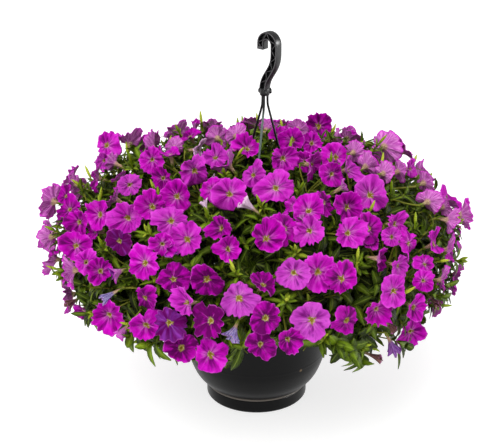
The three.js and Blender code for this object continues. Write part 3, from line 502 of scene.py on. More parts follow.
def branch_point(start, end, place, slope, least):
    """The point on a line from which a side branch to a place leaves at a natural slope."""
    axis = unit(end - start)
    along = (place - start) @ axis
    aside = np.linalg.norm(place - start - axis * along)
    return start + axis * min(max(along - slope * aside, least), np.linalg.norm(end - start) - 1)


stems = place_stems()
print("stems:", len(stems))

# %% The lines of the strands
# The collar stands off the bowl's axis, and pieces that sit on each other have a little air between them,
# in mm.
HUB = np.array([13.0, 0.0, 0.0])
CLEARANCE = 0.35
LUG = {"width": 16, "bottom": 149, "top": 152.5, "inner": 116, "outer": 129.6}
# A strand rises from its lug to a bend, and over a shoulder into the collar. Out is how far from its place
# in the collar, and kept clear is the radius that the blooms avoid.
STRAND = {"radius": 2, "kept_clear": 1.55, "lug_ring": 122, "head_radius": 4.2, "head_height": 2.4,
          "bend_height": 545, "bend_out": 2.2, "shoulder_height": 555, "shoulder_out": 0.3,
          "top_height": 576, "top_ring": 5}


def strand_line(azimuth):
    """The middle line of a strand: its foot under the lug, the bend below the collar, and its end in the
    collar."""
    ring = STRAND["top_ring"]
    lug = polar(STRAND["lug_ring"], azimuth, (LUG["bottom"] + LUG["top"]) / 2)
    bend = polar(ring + STRAND["bend_out"], azimuth, STRAND["bend_height"]) + HUB
    down = unit(lug - bend)
    foot_height = LUG["bottom"] - CLEARANCE - STRAND["head_height"] / 2
    foot = lug + down * ((foot_height - lug[2]) / down[2])
    shoulder = polar(ring + STRAND["shoulder_out"], azimuth, STRAND["shoulder_height"]) + HUB
    return [foot, bend, shoulder, polar(ring, azimuth, STRAND["top_height"]) + HUB]


strand_lines = [strand_line(azimuth) for azimuth in STRAND_AZIMUTHS]
strand_balls = np.vstack([
    balls_along(foot, bend, STRAND["kept_clear"], STRAND["kept_clear"]) for foot, bend, *_ in strand_lines])
print("taut length of each strand in mm:", [round(float(np.linalg.norm(b - a))) for a, b, *_ in strand_lines])

# %% A bloom on its stalk
# A bloom's own stalk leaves the spray's at a slope, no nearer than least to its hub, and spacing apart from
# the next on the same side, which is where the cosine between their ways is above the limit.
PEDICEL = {"radius": 1.15, "slope": 0.85, "spacing": 3.4, "least": 7, "same_side": 0.1}
BLOOM = {"tube": 29, "tube_radius": 1.8, "neck_radius": 5.2, "neck_depth": 10}
# How far the wavy petals reach before and behind their middle, and the points at which they are tested.
LIMB = {"front": 2.6, "back": 4.6, "inner_points": 8, "rim_points": 18}


def free_root(stem, wanted, calyx):
    """The first place up a stalk that no other bloom of the spray grows from on the same side."""
    axis = stem["outward"]

    def side(p, root):
        off = p - root
        return unit(off - axis * (off @ axis))

    room = np.linalg.norm(stem["tip"] - wanted) - 1
    up = 0
    while up < room:
        root = wanted + axis * up
        taken = [np.linalg.norm(other["root"] - root) < PEDICEL["spacing"]
                 and side(other["calyx"], other["root"]) @ side(calyx, root) > PEDICEL["same_side"]
                 for other in stem["blooms"]]
        if not any(taken):
            return root
        up += 1
    return wanted


def circle(middle, looks, spin, count, radius):
    """Points round a middle, square to the way it looks."""
    side, up = across(looks, np.float64(spin))
    return middle + radius * spokes(side, up, round_angles(count))


def grown(bloom, depth, size, stray):
    """A bloom as it would grow at a depth, with a size and a share of its stray look."""
    stem = bloom["stem"]
    middle = bloom["place"] + bloom["rise"] * depth
    looks = unit(bloom["looks"] * stray + bloom["out"] * (1 - stray))
    radius = bloom["radius"] * size
    neck = middle - looks * BLOOM["neck_depth"]
    calyx = middle - looks * BLOOM["tube"]
    wanted = branch_point(stem["hub"], stem["tip"], calyx, PEDICEL["slope"], PEDICEL["least"])
    root = stem["tip"] if bloom["leads"] else free_root(stem, wanted, calyx)
    rims = [circle(middle, looks, bloom["spin"], LIMB["inner_points"], radius / 2),
            circle(middle, looks, bloom["spin"], LIMB["rim_points"], radius)]
    line = np.vstack([balls_along(neck, calyx, BLOOM["neck_radius"], BLOOM["tube_radius"]),
                      balls_along(calyx, root, BLOOM["tube_radius"], PEDICEL["radius"])])
    return {**bloom, "middle": middle, "looks": looks, "radius": radius, "calyx": calyx, "root": root,
            "limb": np.vstack([middle, *rims]), "line": line}


print("from the petals to the calyx in mm:", BLOOM["tube"])

# %% Room between blooms, stems and strands
# The least air between them, in mm.
ROOM = 1.4


def in_limb(places, sizes, bloom):
    """Which balls come too near a bloom's petals, which fill a shallow cone with a wavy edge."""
    off = places - bloom["middle"]
    behind = -(off @ bloom["looks"])
    aside = np.sqrt(np.maximum((off ** 2).sum(-1) - behind ** 2, 0))
    back = np.maximum(BLOOM["neck_depth"] * (1 - aside / bloom["radius"]), LIMB["back"])
    between = (behind > -LIMB["front"] - sizes) & (behind < back + sizes)
    return (aside < bloom["radius"] + sizes) & between


def meets_limb(line, bloom):
    """Whether any ball of a line comes too near a bloom's petals."""
    return bool(in_limb(line[:, :3], line[:, 3] + ROOM, bloom).any())


def touching(line, other):
    """Whether the balls of two lines come too near each other."""
    gaps = np.linalg.norm(line[:, None, :3] - other[None, :, :3], axis=-1)
    return bool(np.any(gaps < line[:, None, 3] + other[None, :, 3] + ROOM))


def crowded(a, b):
    """Whether two blooms meet. The last balls of their stalks don't count in one spray, where they share a
    stalk."""
    for p, q in ((a, b), (b, a)):
        if in_limb(p["limb"], ROOM, q).any() or meets_limb(p["line"], q):
            return True
    end = -3 if a["stem"] is b["stem"] else None
    return touching(a["line"][:end], b["line"][:end])


def clears_line(bloom, line):
    """Whether a bloom keeps clear of a line of balls."""
    return not touching(bloom["line"], line) and not meets_limb(line, bloom)


def clears_stem(bloom, stem):
    """Whether a bloom keeps clear of a stem and of its stalk, on which the bloom's own may grow."""
    own = bloom["stem"] is stem
    stalk = stem["stalk_balls"]
    if own and meets_limb(stalk, bloom):
        return False
    return clears_line(bloom, stem["route_balls"] if own else np.vstack([stem["route_balls"], stalk]))


print("balls that stand for the strands:", len(strand_balls))

# %% Growing the blooms one by one
# The ways to grow that are tried in turn: depths in mm along the line to the camera, sizes, and how much of
# its own look a bloom keeps.
DEPTHS = [0, 14, -13, 26, -25, 7, -7, 20, -19, 33, -31]
SIZES = [1, 0.9, 0.8, 0.7, 0.6]
STRAYS = [1, 0.5, 0]
# No bloom's middle is seen above this row of pixels.
HIGHEST_ROW = 115
# Blooms whose places are further apart than this can't meet.
NEIGHBOUR = 170


def nearest(places, p):
    """The number of the place that is nearest to a point."""
    return int(np.argmin(np.linalg.norm(places - p, axis=-1)))


def tries(bloom):
    """Every way that a bloom may grow, without those above the highest row and those whose stalk turns
    back."""
    for size in SIZES:
        for stray in STRAYS:
            for depth in DEPTHS:
                tried = grown(bloom, depth, size, stray)
                onwards = (tried["calyx"] - tried["root"]) @ bloom["stem"]["outward"]
                turns_back = bloom["leads"] and onwards < 0
                if seen_at(tried["middle"])[1] > HIGHEST_ROW and not turns_back:
                    yield tried


def grow_blooms(blooms, stems):
    """Each bloom takes the first way to grow that leaves room between it and what has grown before."""
    crowns = column(stems, "crown")
    for bloom in blooms:
        bloom["stem"] = stems[nearest(crowns, bloom["place"])]
        bloom["leads"] = False
    for stem in stems:
        own = [bloom for bloom in blooms if bloom["stem"] is stem]
        own[nearest(column(own, "place"), stem["crown"])]["leads"] = True
    done = []
    for bloom in blooms:
        near = [other for other in done if np.linalg.norm(other["place"] - bloom["place"]) < NEIGHBOUR]
        chosen = None
        for tried in tries(bloom):
            if (not any(crowded(tried, other) for other in near)
                    and all(clears_stem(tried, stem) for stem in stems) and clears_line(tried, strand_balls)):
                chosen = tried
                break
        chosen = chosen or grown(bloom, 0, SIZES[-1], 0)
        done.append(chosen)
        bloom["stem"]["blooms"].append(chosen)
    return done


blooms = grow_blooms(placed_blooms, stems)
print("mean bloom width in mm:", round(float(2 * column(blooms, "radius").mean()), 1))

# %% [markdown]
# The camera stands where the photograph was taken from: 2.6 m away, a little above, with a long lens.

# %% The camera
camera = linked("camera", bpy.data.cameras.new("camera"))
camera.location = EYE * MM
camera.rotation_euler = (math.pi / 2 - PITCH, 0, 0)
camera.data.sensor_fit = "HORIZONTAL"
camera.data.sensor_width = 36
camera.data.lens = camera.data.sensor_width * FOCAL / (2 * MIDDLE[0])
camera.data.clip_end = 50
bpy.context.scene.camera = camera
print("lens in mm:", round(camera.data.lens, 1))

# %% [markdown]
# A finish is a node tree. Shader maths reads best as plain arithmetic, so a socket is wrapped in a small
# class whose signs add the Math nodes. Colours are mixed with Mix nodes, and every other node comes from
# one method.

# %% Shader maths as plain expressions
class Value:
    """A number that changes over a surface: a socket whose arithmetic adds Math nodes."""

    def __init__(self, finish, socket):
        self.finish, self.socket = finish, socket

    def __add__(self, other):
        return self.finish.math("ADD", self, other)

    def __sub__(self, other):
        return self.finish.math("SUBTRACT", self, other)

    def __rsub__(self, other):
        return self.finish.math("SUBTRACT", other, self)

    def __mul__(self, other):
        return self.finish.math("MULTIPLY", self, other)

    def __pow__(self, other):
        return self.finish.math("POWER", self, other)

    __radd__ = __add__
    __rmul__ = __mul__

    def clipped(self):
        """The number kept between 0 and 1."""
        return self.finish.math("MINIMUM", self.finish.math("MAXIMUM", self, 0), 1)


print("signs that a value knows: + - * **")

# %% A material round one shader
class Finish:
    """A material built from nodes round one Principled shader."""

    def __init__(self, name, **constants):
        self.material = bpy.data.materials.new(name)
        self.material.use_nodes = True
        self.tree = self.material.node_tree
        self.shader = self.tree.nodes["Principled BSDF"]
        for socket, value in constants.items():
            self.shader.inputs[socket.replace("_", " ")].default_value = value

    def node(self, kind, settings=None, sockets=None, result=0):
        """Adds a node: its type, then its settings, then the values or links of its sockets. stops are a
        colour ramp's positions and colours. Returns the result socket, wrapped."""
        made = self.tree.nodes.new(kind)
        for name, value in (settings or {}).items():
            if name == "stops":
                ramp = made.color_ramp.elements
                while len(ramp) < len(value):
                    ramp.new(1)
                for element, (position, colour) in zip(ramp, value):
                    element.position = position
                    element.color = (*colour, 1)
            else:
                setattr(made, name, value)
        for name, value in (sockets or {}).items():
            self.feed(made.inputs[name], value)
        return Value(self, made.outputs[result])

    def feed(self, socket, value):
        """Links a value to a socket, or sets the socket's own number or colour."""
        if isinstance(value, Value):
            self.tree.links.new(value.socket, socket)
        elif isinstance(value, tuple) and socket.type == "RGBA":
            socket.default_value = (*value, 1)
        else:
            socket.default_value = value

    def math(self, operation, *values):
        return self.node("ShaderNodeMath", {"operation": operation}, dict(enumerate(values)))

    def mark(self, name):
        """The three parts of a point attribute, each as a number."""
        return self.split(self.node("ShaderNodeAttribute", {"attribute_name": name}, result="Vector"))

    def place(self):
        """The place on the object, in metres."""
        return self.node("ShaderNodeTexCoord", result="Object")

    def split(self, vector):
        parts = self.node("ShaderNodeSeparateXYZ", sockets={"Vector": vector})
        return [Value(self, output) for output in parts.socket.node.outputs]

    def join(self, x, y, z):
        return self.node("ShaderNodeCombineXYZ", sockets={"X": x, "Y": y, "Z": z})

    def noise(self, vector, scale, detail=2, roughness=0.5):
        return self.node("ShaderNodeTexNoise", sockets={
            "Vector": vector, "Scale": scale, "Detail": detail, "Roughness": roughness})

    def mix(self, factor, a, b):
        """A colour between a and b."""
        return self.node("ShaderNodeMix", {"data_type": "RGBA"}, {0: factor, 6: a, 7: b}, result=2)

    def ramp(self, value, *stops):
        """A colour from a row of stops, each a position and a colour."""
        return self.node("ShaderNodeValToRGB", {"stops": stops}, {"Fac": value})

    def range(self, value, low, high):
        """A smooth step: 0 where the value is low, 1 where it is high. Low may be the larger of the two."""
        return self.node("ShaderNodeMapRange", {"interpolation_type": "SMOOTHSTEP"}, {
            "Value": value, "From Min": low, "From Max": high})

    def done(self, colour, roughness, height, depth):
        """Feeds the shader its colour, its roughness and a bump that is as deep as depth, in metres, where
        height is 1."""
        bump = self.node("ShaderNodeBump", sockets={"Height": height, "Distance": depth, "Strength": 1.0})
        for socket, value in (("Base Color", colour), ("Roughness", roughness), ("Normal", bump)):
            self.feed(self.shader.inputs[socket], value)
        return self.material


def rgb(red, green, blue):
    """A screen colour from 0 to 255 as the light values that Blender works with."""
    share = np.array([red, green, blue]) / 255
    light = np.where(share <= 0.04045, share / 12.92, ((share + 0.055) / 1.055) ** 2.4)
    return tuple(float(value) for value in light)


print("the shader helpers are ready")

# %% [markdown]
# A petunia's petals are velvety. Their colour runs from deep magenta to light orchid, with painted light
# and shade on the folded lobes, painted shade in the folds round the throat and a paler edge, and with fine
# veins that fan out from the throat. The throat is a ragged cream ring round an ochre hole, the backs are
# dusty mauve and painted lighter to stand in for light that shines through the thin petals, and the tube is
# cream with dull pink streaks. A picture of a petal could be painted, but it would have to be fitted to
# every ruffle. Here the mesh says how far out each point lies, which side it is on and how light its bloom
# is, so a pattern made of noises follows the petals by itself.
#
# The tone is the same all over a bloom. From 0 to 1 it runs from deep to light, above that to pale pink and
# nearly white, and below it to violet, faded blue and withered brown.

# %% What the petals' colours follow
LOBES = 5


class PetalPattern:
    """The numbers that a petal's colours are worked out from. out is 0 in the throat and 1 at the edge,
    tone is how light the bloom is, back is 1 behind. The noises are read on a circle round the bloom, so
    they have no seam: folds are broad rays, streaks are fine ones, and blotches lie anywhere."""

    def __init__(self, finish):
        self.finish = finish
        cosine, sine, seed = finish.mark("around")
        self.out, self.tone, self.back = finish.mark("mark")
        out = self.out
        angle = finish.math("ARCTAN2", sine, cosine)
        self.star = finish.math("COSINE", angle * LOBES) * 0.5 + 0.5
        self.folds = finish.noise(finish.join(cosine * 1.3, sine * 1.3, seed + out * 0.5), 1.9, 2, 0.5)
        self.streaks = finish.noise(finish.join(cosine * 1.6, sine * 1.6, seed + out * 0.3), 7.0, 3, 0.65)
        self.blotches = finish.noise(finish.join(cosine * out, sine * out, seed + 7), 2.6, 3)

    def when(self, name, low, high):
        """A smooth step of one of these numbers."""
        return self.finish.range(getattr(self, name), low, high)


def petal_ground(finish, at):
    """Deep magenta to light orchid, by the bloom's tone, with blotches, and with painted light and shade on
    the folded lobes.
    """
    # The folds term is painted light and shade: it lightens some lobes and darkens others.
    light = at.tone + (at.blotches - 0.5) * 1.1 + (at.folds - 0.5) * 1.7 + (at.out - 0.6) * 0.3
    return finish.ramp(light.clipped(), (0, rgb(98, 0, 88)), (0.25, rgb(158, 0, 145)),
                       (0.65, rgb(196, 8, 183)), (1, rgb(216, 48, 205)))


def odd_blooms(finish, at, petal):
    """Blooms whose tone lies outside 0 to 1: pale pink and white above it, violet, faded and withered
    below."""
    pale = finish.mix((at.blotches + at.folds - 0.5).clipped(), rgb(158, 36, 160), rgb(208, 92, 204))
    petal = finish.mix(at.when("tone", 0.62, 1.05), petal, pale)
    white = finish.mix(at.blotches, rgb(218, 140, 206), rgb(242, 216, 238))
    petal = finish.mix(at.when("tone", 1.2, 1.6), petal, white)
    violet = finish.mix(at.blotches, rgb(86, 14, 112), rgb(156, 62, 184))
    petal = finish.mix(finish.range(at.tone - (at.folds - 0.5) * 1.6, -0.2, -0.8), petal, violet)
    faded = finish.mix(at.when("streaks", 0.4, 0.6), rgb(66, 44, 140), rgb(200, 188, 228))
    petal = finish.mix(at.when("tone", -1.0, -1.4), petal, faded)
    withered = finish.mix(at.when("streaks", 0.4, 0.6), rgb(70, 32, 44), rgb(146, 108, 92))
    return finish.mix(at.when("tone", -2.0, -2.4), petal, withered)


print("lobes in the petals' pattern:", LOBES)

# %% The finish of the petals
def petal_marks(finish, at, petal):
    """What is drawn on the front: a glow round the throat, painted shade in the folds and in the creases
    between the lobes, smudges, veins, light rays along the midribs and a paler edge. Each is a mask from a
    few smooth steps, and a colour."""
    glow = at.when("out", 0.62, 0.14) * at.when("folds", 0.42, 0.62) * at.when("tone", 0.0, 0.6)
    # Painted shade in the folds near the throat, and in the creases between the lobes.
    fold_shade = at.when("folds", 0.46, 0.3) * at.when("out", 1.04, 0.5)
    crease_shade = at.when("star", 0.14, 0.0) * at.when("out", 0.95, 0.6) * at.when("blotches", 0.4, 0.55)
    ring = at.when("out", 0.3, 0.5) * at.when("out", 0.9, 0.7)
    smudge = at.when("blotches", 0.62, 0.7) * ring * at.when("tone", 0.4, 0.8)
    veins = at.when("streaks", 0.53, 0.66) * at.when("out", 1.1, 0.35)
    rays = at.when("star", 0.96, 1.0) * at.when("out", 0.8, 0.2) * at.when("folds", 0.5, 0.62)
    edge = at.when("out", 0.9, 1.0) * at.when("blotches", 0.42, 0.6)
    for mask, strength, colour in (
            (glow, 0.55, rgb(222, 140, 214)), (fold_shade, 0.7, rgb(96, 0, 92)), (crease_shade, 0.6, rgb(88, 0, 92)),
            (smudge, 0.5, rgb(104, 16, 124)), (veins, 0.42, rgb(120, 0, 110)),
            (rays, 0.22, rgb(236, 150, 220)), (edge, 0.45, rgb(238, 120, 230))):
        petal = finish.mix(mask * strength, petal, colour)
    return petal


def petal_backs(finish, at, petal):
    """Dusty mauve backs with pale streaks, nearly as bright as the front along the edge. The mauve is painted
    lighter than the backs' own colour, standing in for light that shines through the thin petal.
    """
    mauve = finish.mix(at.when("streaks", 0.36, 0.62), rgb(184, 70, 174), rgb(228, 142, 218))
    mauve = finish.mix(at.when("out", 0.84, 1.0), mauve, rgb(222, 62, 212))
    mauve = finish.mix(at.when("tone", 1.2, 1.6), mauve, rgb(240, 206, 234))
    return finish.mix(at.back * at.when("tone", -1.2, -0.9) * 0.9, petal, mauve)


def throat_and_tube(finish, at, petal):
    """A cream ring with a ragged rim round an ochre hole in front, and a cream tube behind that turns green
    at the calyx."""
    front = 1 - at.back
    rim = at.out + (at.folds - 0.5) * 0.6 + (at.streaks - 0.5) * 0.12
    cream = finish.mix(at.when("folds", 0.4, 0.6), rgb(158, 136, 52), rgb(240, 232, 168))
    petal = finish.mix(finish.range(rim, 0.18, 0.08) * front, petal, cream)
    hole = finish.range(at.out + (at.folds - 0.5) * 0.3, 0.07, -0.02) * front
    petal = finish.mix(hole, petal, finish.mix(at.blotches, rgb(140, 112, 24), rgb(196, 172, 70)))
    tube = finish.mix(at.when("streaks", 0.4, 0.6), rgb(222, 204, 148), rgb(178, 112, 120))
    petal = finish.mix(at.back * at.when("out", 0.32, 0.05), petal, tube)
    return finish.mix(at.back * at.when("out", -0.6, -1.0), petal, rgb(140, 146, 70))


def petal_finish():
    finish = Finish("petals", Specular_IOR_Level=0.06)
    at = PetalPattern(finish)
    petal = petal_ground(finish, at)
    for step in (odd_blooms, petal_marks, petal_backs, throat_and_tube):
        petal = step(finish, at, petal)
    return finish.done(petal, at.streaks * 0.12 + 0.66, at.streaks * 1.5 + at.folds * 2.5, 0.0018)


petal_material = petal_finish()
print("petal nodes:", len(petal_material.node_tree.nodes))

# %% [markdown]
# Leaves and stems are a soft green. Each leaf has its own shade, from olive to yellow-green, a paler
# midrib, faint side veins and a paler underside. One material serves them all, because the mesh says how
# far along and aside each point lies, how light its leaf is, and whether it is a leaf or a stem.

# %% The finish of leaves and stems
def green_finish():
    """Green by the leaf's tone with clouds in it, then the midrib, nine pairs of side veins and the paler
    underside. Where kind is 1 the surface is a stem, which has its own plain green."""
    finish = Finish("foliage", Specular_IOR_Level=0.12)
    aside, under, seed = finish.mark("around")
    along, tone, kind = finish.mark("mark")
    blade = 1 - kind
    cloud = finish.noise(finish.join(aside * 0.5, along * 1.6, seed), 2.4, 3)
    shade = (tone + (cloud - 0.5) * 0.5).clipped()
    leaf = finish.ramp(shade, (0, rgb(14, 22, 0)), (0.35, rgb(54, 74, 2)), (0.7, rgb(110, 138, 12)),
                       (1, rgb(184, 194, 58)))
    width = finish.math("ABSOLUTE", aside)
    wave = (along * 9 - width * 2.5) * (2 * math.pi)
    ripple = finish.math("SINE", wave) * 0.5 + 0.5
    leaf = finish.mix(finish.range(width, 0.2, 0.02) * 0.36 * blade, leaf, rgb(150, 170, 62))
    leaf = finish.mix(ripple ** 4 * 0.25 * blade, leaf, rgb(118, 142, 34))
    leaf = finish.mix(under * 0.4 * blade, leaf, rgb(104, 122, 44))
    stem = finish.mix(cloud, rgb(84, 96, 16), rgb(140, 140, 52))
    leaf = finish.mix(kind, leaf, stem)
    return finish.done(leaf, 0.55 - cloud * 0.1, ripple * 0.4 + cloud, 0.0008)


green_material = green_finish()
print("foliage nodes:", len(green_material.node_tree.nodes))

# %% [markdown]
# A bloom is one closed skin. It starts at the calyx, widens up the tube, spreads under the petals, rounds
# the edge and comes back over the front into the throat. The five lobes are unequal and bend each its own
# way, the gaps between them are cut and folded, and the edge is ruffled. Five petals could be sculpted and
# copied, but then all blooms would be alike. Here all of it is one formula of two numbers, the station
# along the skin and the angle round the bloom, with drawn strengths, so every bloom differs.

# %% Stations along a bloom's skin
ROUND = 56
FULL_RADIUS = 24
# Each station: how far out, the radius in mm as a part that grows with the bloom and a fixed part, the
# depth the same way, and the side, which is 1 behind and 0 in front.
STATIONS = np.array([
    (-1.00, 0.0, 1.7, 0.0, 29.0, 1), (-0.70, 0.0, 2.2, 0.0, 24.0, 1), (-0.35, 0.0, 2.9, 0.0, 17.5, 1),
    (0.05, 2.0, 2.2, 2.0, 9.6, 1), (0.28, 7.6, 0.0, 7.6, 0.0, 1), (0.52, 13.4, 0.0, 4.8, 0.0, 1),
    (0.76, 18.6, 0.0, 2.5, 0.0, 1), (0.93, 22.4, 0.0, 1.1, 0.2, 1), (1.00, 24.0, 0.0, 0.4, 0.0, 0.5),
    (0.93, 22.6, 0.0, 0.3, -0.3, 0), (0.76, 18.6, 0.0, 1.2, 0.0, 0), (0.52, 13.0, 0.0, 3.2, 0.0, 0),
    (0.30, 7.9, 0.0, 5.2, 0.0, 0), (0.14, 4.4, 0.0, 6.8, 0.0, 0), (0.02, 2.6, 0.0, 8.2, 0.0, 0),
    (-0.40, 0.0, 1.5, 0.0, 10.6, 0),
])
# What is drawn for the outline, as shares of the radius: how far each lobe reaches, how deep each gap is
# cut, and the waves of the edge, broad ones and a frill.
OUTLINE = {"lobe": (0.86, 1.2), "gap": (0.0, 0.26), "broad": (0.0, 0.07), "frill": (0.003, 0.016)}
# What is drawn for the depth, in mm on a bloom of the full radius: how far each lobe bends back, each gap
# folds and the limb waves slowly, how flat it opens, and the ruffle.
LIFT = {"lobe": (-6.0, 8.0), "gap": (-3.0, 4.6), "slow": (0.5, 3.4), "cup": (-6.0, 2.5),
        "ruffle": (0.1, 0.75)}
# Of the lobes, a tenth is folded far back and a twelfth far forward, by so much more.
FAR_BACK = {"above": 0.9, "more": 8.0}
FAR_FORWARD = {"below": 0.08, "more": 6.0}
# How far the limb slides off the throat, in mm on a bloom of the full radius.
SLIDE = 3.6
print("triangles in a bloom:", 2 * ROUND * len(STATIONS))

# %% Waves and bell curves round many blooms at once
shaping = draws(1975)


def random_row(count, low=0.0, high=1.0):
    """A row of draws between two numbers."""
    return low + (high - low) * np.array([next(shaping) for _ in range(count)])


def random_table(rows, columns, low, high):
    return random_row(rows * columns, low, high).reshape(rows, columns)


def ripples(angle, orders, strengths):
    """A wave round a circle, for many blooms at once: a sum of sines of several orders with drawn
    phases."""
    phases = random_table(*strengths.shape, 0, 2 * np.pi)
    return (strengths[:, :, None] * np.sin(orders[None, :, None] * angle + phases[:, :, None])).sum(axis=1)


def bells(angle, first, width):
    """Five bell curves round a circle, one for each lobe or gap: exp of minus the squared angle from its
    middle over the squared width. Returns (lobes, angles)."""
    middles = first + round_angles(LOBES)
    off = (angle[None] - middles[:, None] + np.pi) % (2 * np.pi) - np.pi
    return np.exp(-(off / width) ** 2)


def on_grid(shape, *values):
    """Numbers that don't fill the whole grid of a surface, spread over it and set beside each other."""
    return np.stack([np.broadcast_to(value, shape) for value in values], -1).astype(float)


ROUND_ANGLE = round_angles(ROUND)
# The widths of the bell curves in radians.
WIDTH = {"lobe": 0.5, "midrib": 0.14, "notch": 0.12, "fold": 0.25}
wide_bells = bells(ROUND_ANGLE, 0, WIDTH["lobe"])
# How much each direction belongs to each lobe: the shares add up to 1.
lobe_share = wide_bells / wide_bells.sum(axis=0)
groove = bells(ROUND_ANGLE, 0, WIDTH["midrib"]).sum(axis=0)
print("lobe shares round a bloom:", lobe_share.shape)


# %% The skin of a bloom
def outlines(count, ruffled):
    """How far each bloom reaches in each direction, as a share of its radius. Each lobe has its own reach,
    each gap between lobes cuts its own notch, broad waves make the whole uneven, a frill runs along the
    edge, and a groove draws each midrib in."""
    notch = bells(ROUND_ANGLE, np.pi / LOBES, WIDTH["notch"])
    outline = random_table(count, LOBES, *OUTLINE["lobe"]) @ lobe_share
    outline = outline - random_table(count, LOBES, *OUTLINE["gap"]) @ notch
    outline += ripples(ROUND_ANGLE, np.arange(2, 5), random_table(count, 3, *OUTLINE["broad"]))
    outline += ripples(ROUND_ANGLE, np.arange(9, 24), random_table(count, 15, *OUTLINE["frill"]) * ruffled)
    return outline - 0.02 * groove


def lifts(count, ruffled, limb):
    """How far back each point of the limb lies, in mm on a bloom of the full radius. To a bow of 1 + 1.6
    cos 5u come a groove along each midrib, the bend of each lobe, a slow wave and the cup of the whole
    limb, the fold of each gap, and a ruffle that grows with the cube of the distance and is stronger on
    some blooms."""
    bent = random_table(count, LOBES, *LIFT["lobe"])
    fold = random_table(count, LOBES, 0, 1)
    bent = bent + np.where(fold > FAR_BACK["above"], FAR_BACK["more"], 0)
    bent = bent - np.where(fold < FAR_FORWARD["below"], FAR_FORWARD["more"], 0)
    folded = random_table(count, LOBES, *LIFT["gap"]) @ bells(ROUND_ANGLE, np.pi / LOBES, WIDTH["fold"])
    slow = ripples(ROUND_ANGLE, np.arange(1, 4), random_table(count, 3, *LIFT["slow"]))
    cup = random_table(count, 1, *LIFT["cup"])
    ruffle = ripples(ROUND_ANGLE, np.arange(6, 20), random_table(count, 14, *LIFT["ruffle"]) * ruffled)
    bow = 1 + 1.6 * np.cos(LOBES * ROUND_ANGLE)
    moved = bow * limb ** 1.6 + 4.5 * groove * limb * (1 - limb)
    moved = moved + (bent @ lobe_share + slow + cup)[:, None] * limb ** 1.7
    moved = moved + folded[:, None] * (limb ** 1.2 * (1.15 - limb) * 2 + limb ** 2 * 0.6)
    return moved + ruffle[:, None] * limb ** 3


def bloom_skin(spray):
    """The rings and marks of all blooms of a spray. A ring's radius is its station's, and towards the edge
    it takes on the outline by the square of the distance. Its depth is the station's plus the lift, and the
    limb slides off the throat to one side."""
    count = len(spray)
    size = column(spray, "radius") / FULL_RADIUS
    out, grow_radius, fixed_radius, grow_depth, fixed_depth, back = STATIONS.T
    limb = np.clip(out, 0, 1)[:, None]
    ruffled = random_table(count, 1, 0.5, 2.0)
    outline = outlines(count, ruffled)
    radius = (grow_radius * size[:, None] + fixed_radius)[:, :, None]
    radius = radius * (1 + limb ** 2 * (outline[:, None] - 1))
    lift = size[:, None, None] * lifts(count, ruffled, limb)
    depth = (grow_depth * size[:, None] + fixed_depth)[:, :, None] + lift
    slide = random_table(count, 2, -SLIDE, SLIDE) * size[:, None]
    looks = column(spray, "looks")
    side, up = across(looks, column(spray, "spin"))
    aside = slide[:, :1] * side + slide[:, 1:] * up
    outward = spokes(over_rings(side), over_rings(up), ROUND_ANGLE)
    rings = over_rings(column(spray, "middle")) + radius[..., None] * outward
    rings = rings - depth[..., None] * over_rings(looks)
    rings = rings + over_rings(aside) * (limb ** 1.3)[None, :, :, None]
    grid = rings.shape[:3]
    around = on_grid(grid, np.cos(ROUND_ANGLE), np.sin(ROUND_ANGLE), over_rings(column(spray, "seed")))
    mark = on_grid(grid, out[:, None], over_rings(column(spray, "tone")), back[:, None])
    return rings, around, mark


# %% Which blooms stand out by their colour
# The ones of the photograph: pixel across, pixel down, and tone.
TONED = [
    (239, 298, 0.95), (313, 321, 0.95), (230, 194, 0.75), (171, 221, 0.8), (130, 184, 0.85),
    (209, 321, 0.02), (266, 319, 0.08), (207, 281, 0.12), (169, 324, -0.42), (118, 242, -0.25),
    (201, 150, 1.6), (173, 278, 0.1), (210, 356, 0.6), (371, 195, 0.8), (276, 188, 0.75),
    (317, 272, 0.7), (265, 282, 0.15), (187, 239, 0.75), (142, 263, 0.6), (177, 196, 0.45),
    (343, 279, 0.35), (293, 273, 0.9), (349, 323, 0.3), (379, 311, 0.35),
]
# The noises are read at a depth that is drawn up to this, so that no two pieces look alike.
SEEDS = 40
# The other tones are drawn, and darker on the low part of the plant, as painted shade: the height where
# that starts, and over how many mm it grows.
TONES = {"least": 0.16, "range": 0.68, "low": 0.26, "below": 360, "within": 160}
for bloom in blooms:
    bloom["seed"] = next(shaping) * SEEDS
    low = np.clip((TONES["below"] - bloom["place"][2]) / TONES["within"], 0, 1)
    bloom["tone"] = TONES["least"] + TONES["range"] * next(shaping) - TONES["low"] * low
pixels = np.array(FRONT_BLOOMS)[:, :2]
for x, y, tone in TONED:
    blooms[nearest(pixels, np.array([x, y]))]["tone"] = tone
print("blooms with a tone of their own:", len(TONED))

# %% [markdown]
# Each bloom hangs on a thin stalk that leaves the spray's stalk at a slope and bends round into the tube.
# Five narrow sepals clasp the foot of the tube. The bloom that leads the spray has the spray's own thicker
# stalk.

# %% Stalks and sepals
def stalk_paths(spray):
    """A cubic curve from each root to its calyx, which leaves along the stalk and arrives along the
    tube."""
    roots, calyxes, looks = (column(spray, name) for name in ("root", "calyx", "looks"))
    outward = column(column(spray, "stem"), "outward")
    reach = np.linalg.norm(calyxes - roots, axis=1, keepdims=True)
    ahead = unit(calyxes - roots)
    leave = unit(outward * 0.35 + ahead)
    arrive = unit(looks * 0.45 + ahead)
    corners = [roots, roots + leave * reach * 0.3, calyxes - arrive * reach * 0.3, calyxes + looks]
    return cubic(np.stack(corners, 1), 9)


def plain_marks(rings, along, tone, kind, seed=0.0):
    """Marks of a surface with no midrib: the share along it, its tone, and kind 1 for a stem."""
    shape = rings.shape[:3]
    each = lambda value: np.asarray(value).reshape(-1, 1, 1)
    along = np.asarray(along)[:, None]
    return on_grid(shape, 0, 0, each(seed)), on_grid(shape, along, each(tone), kind)


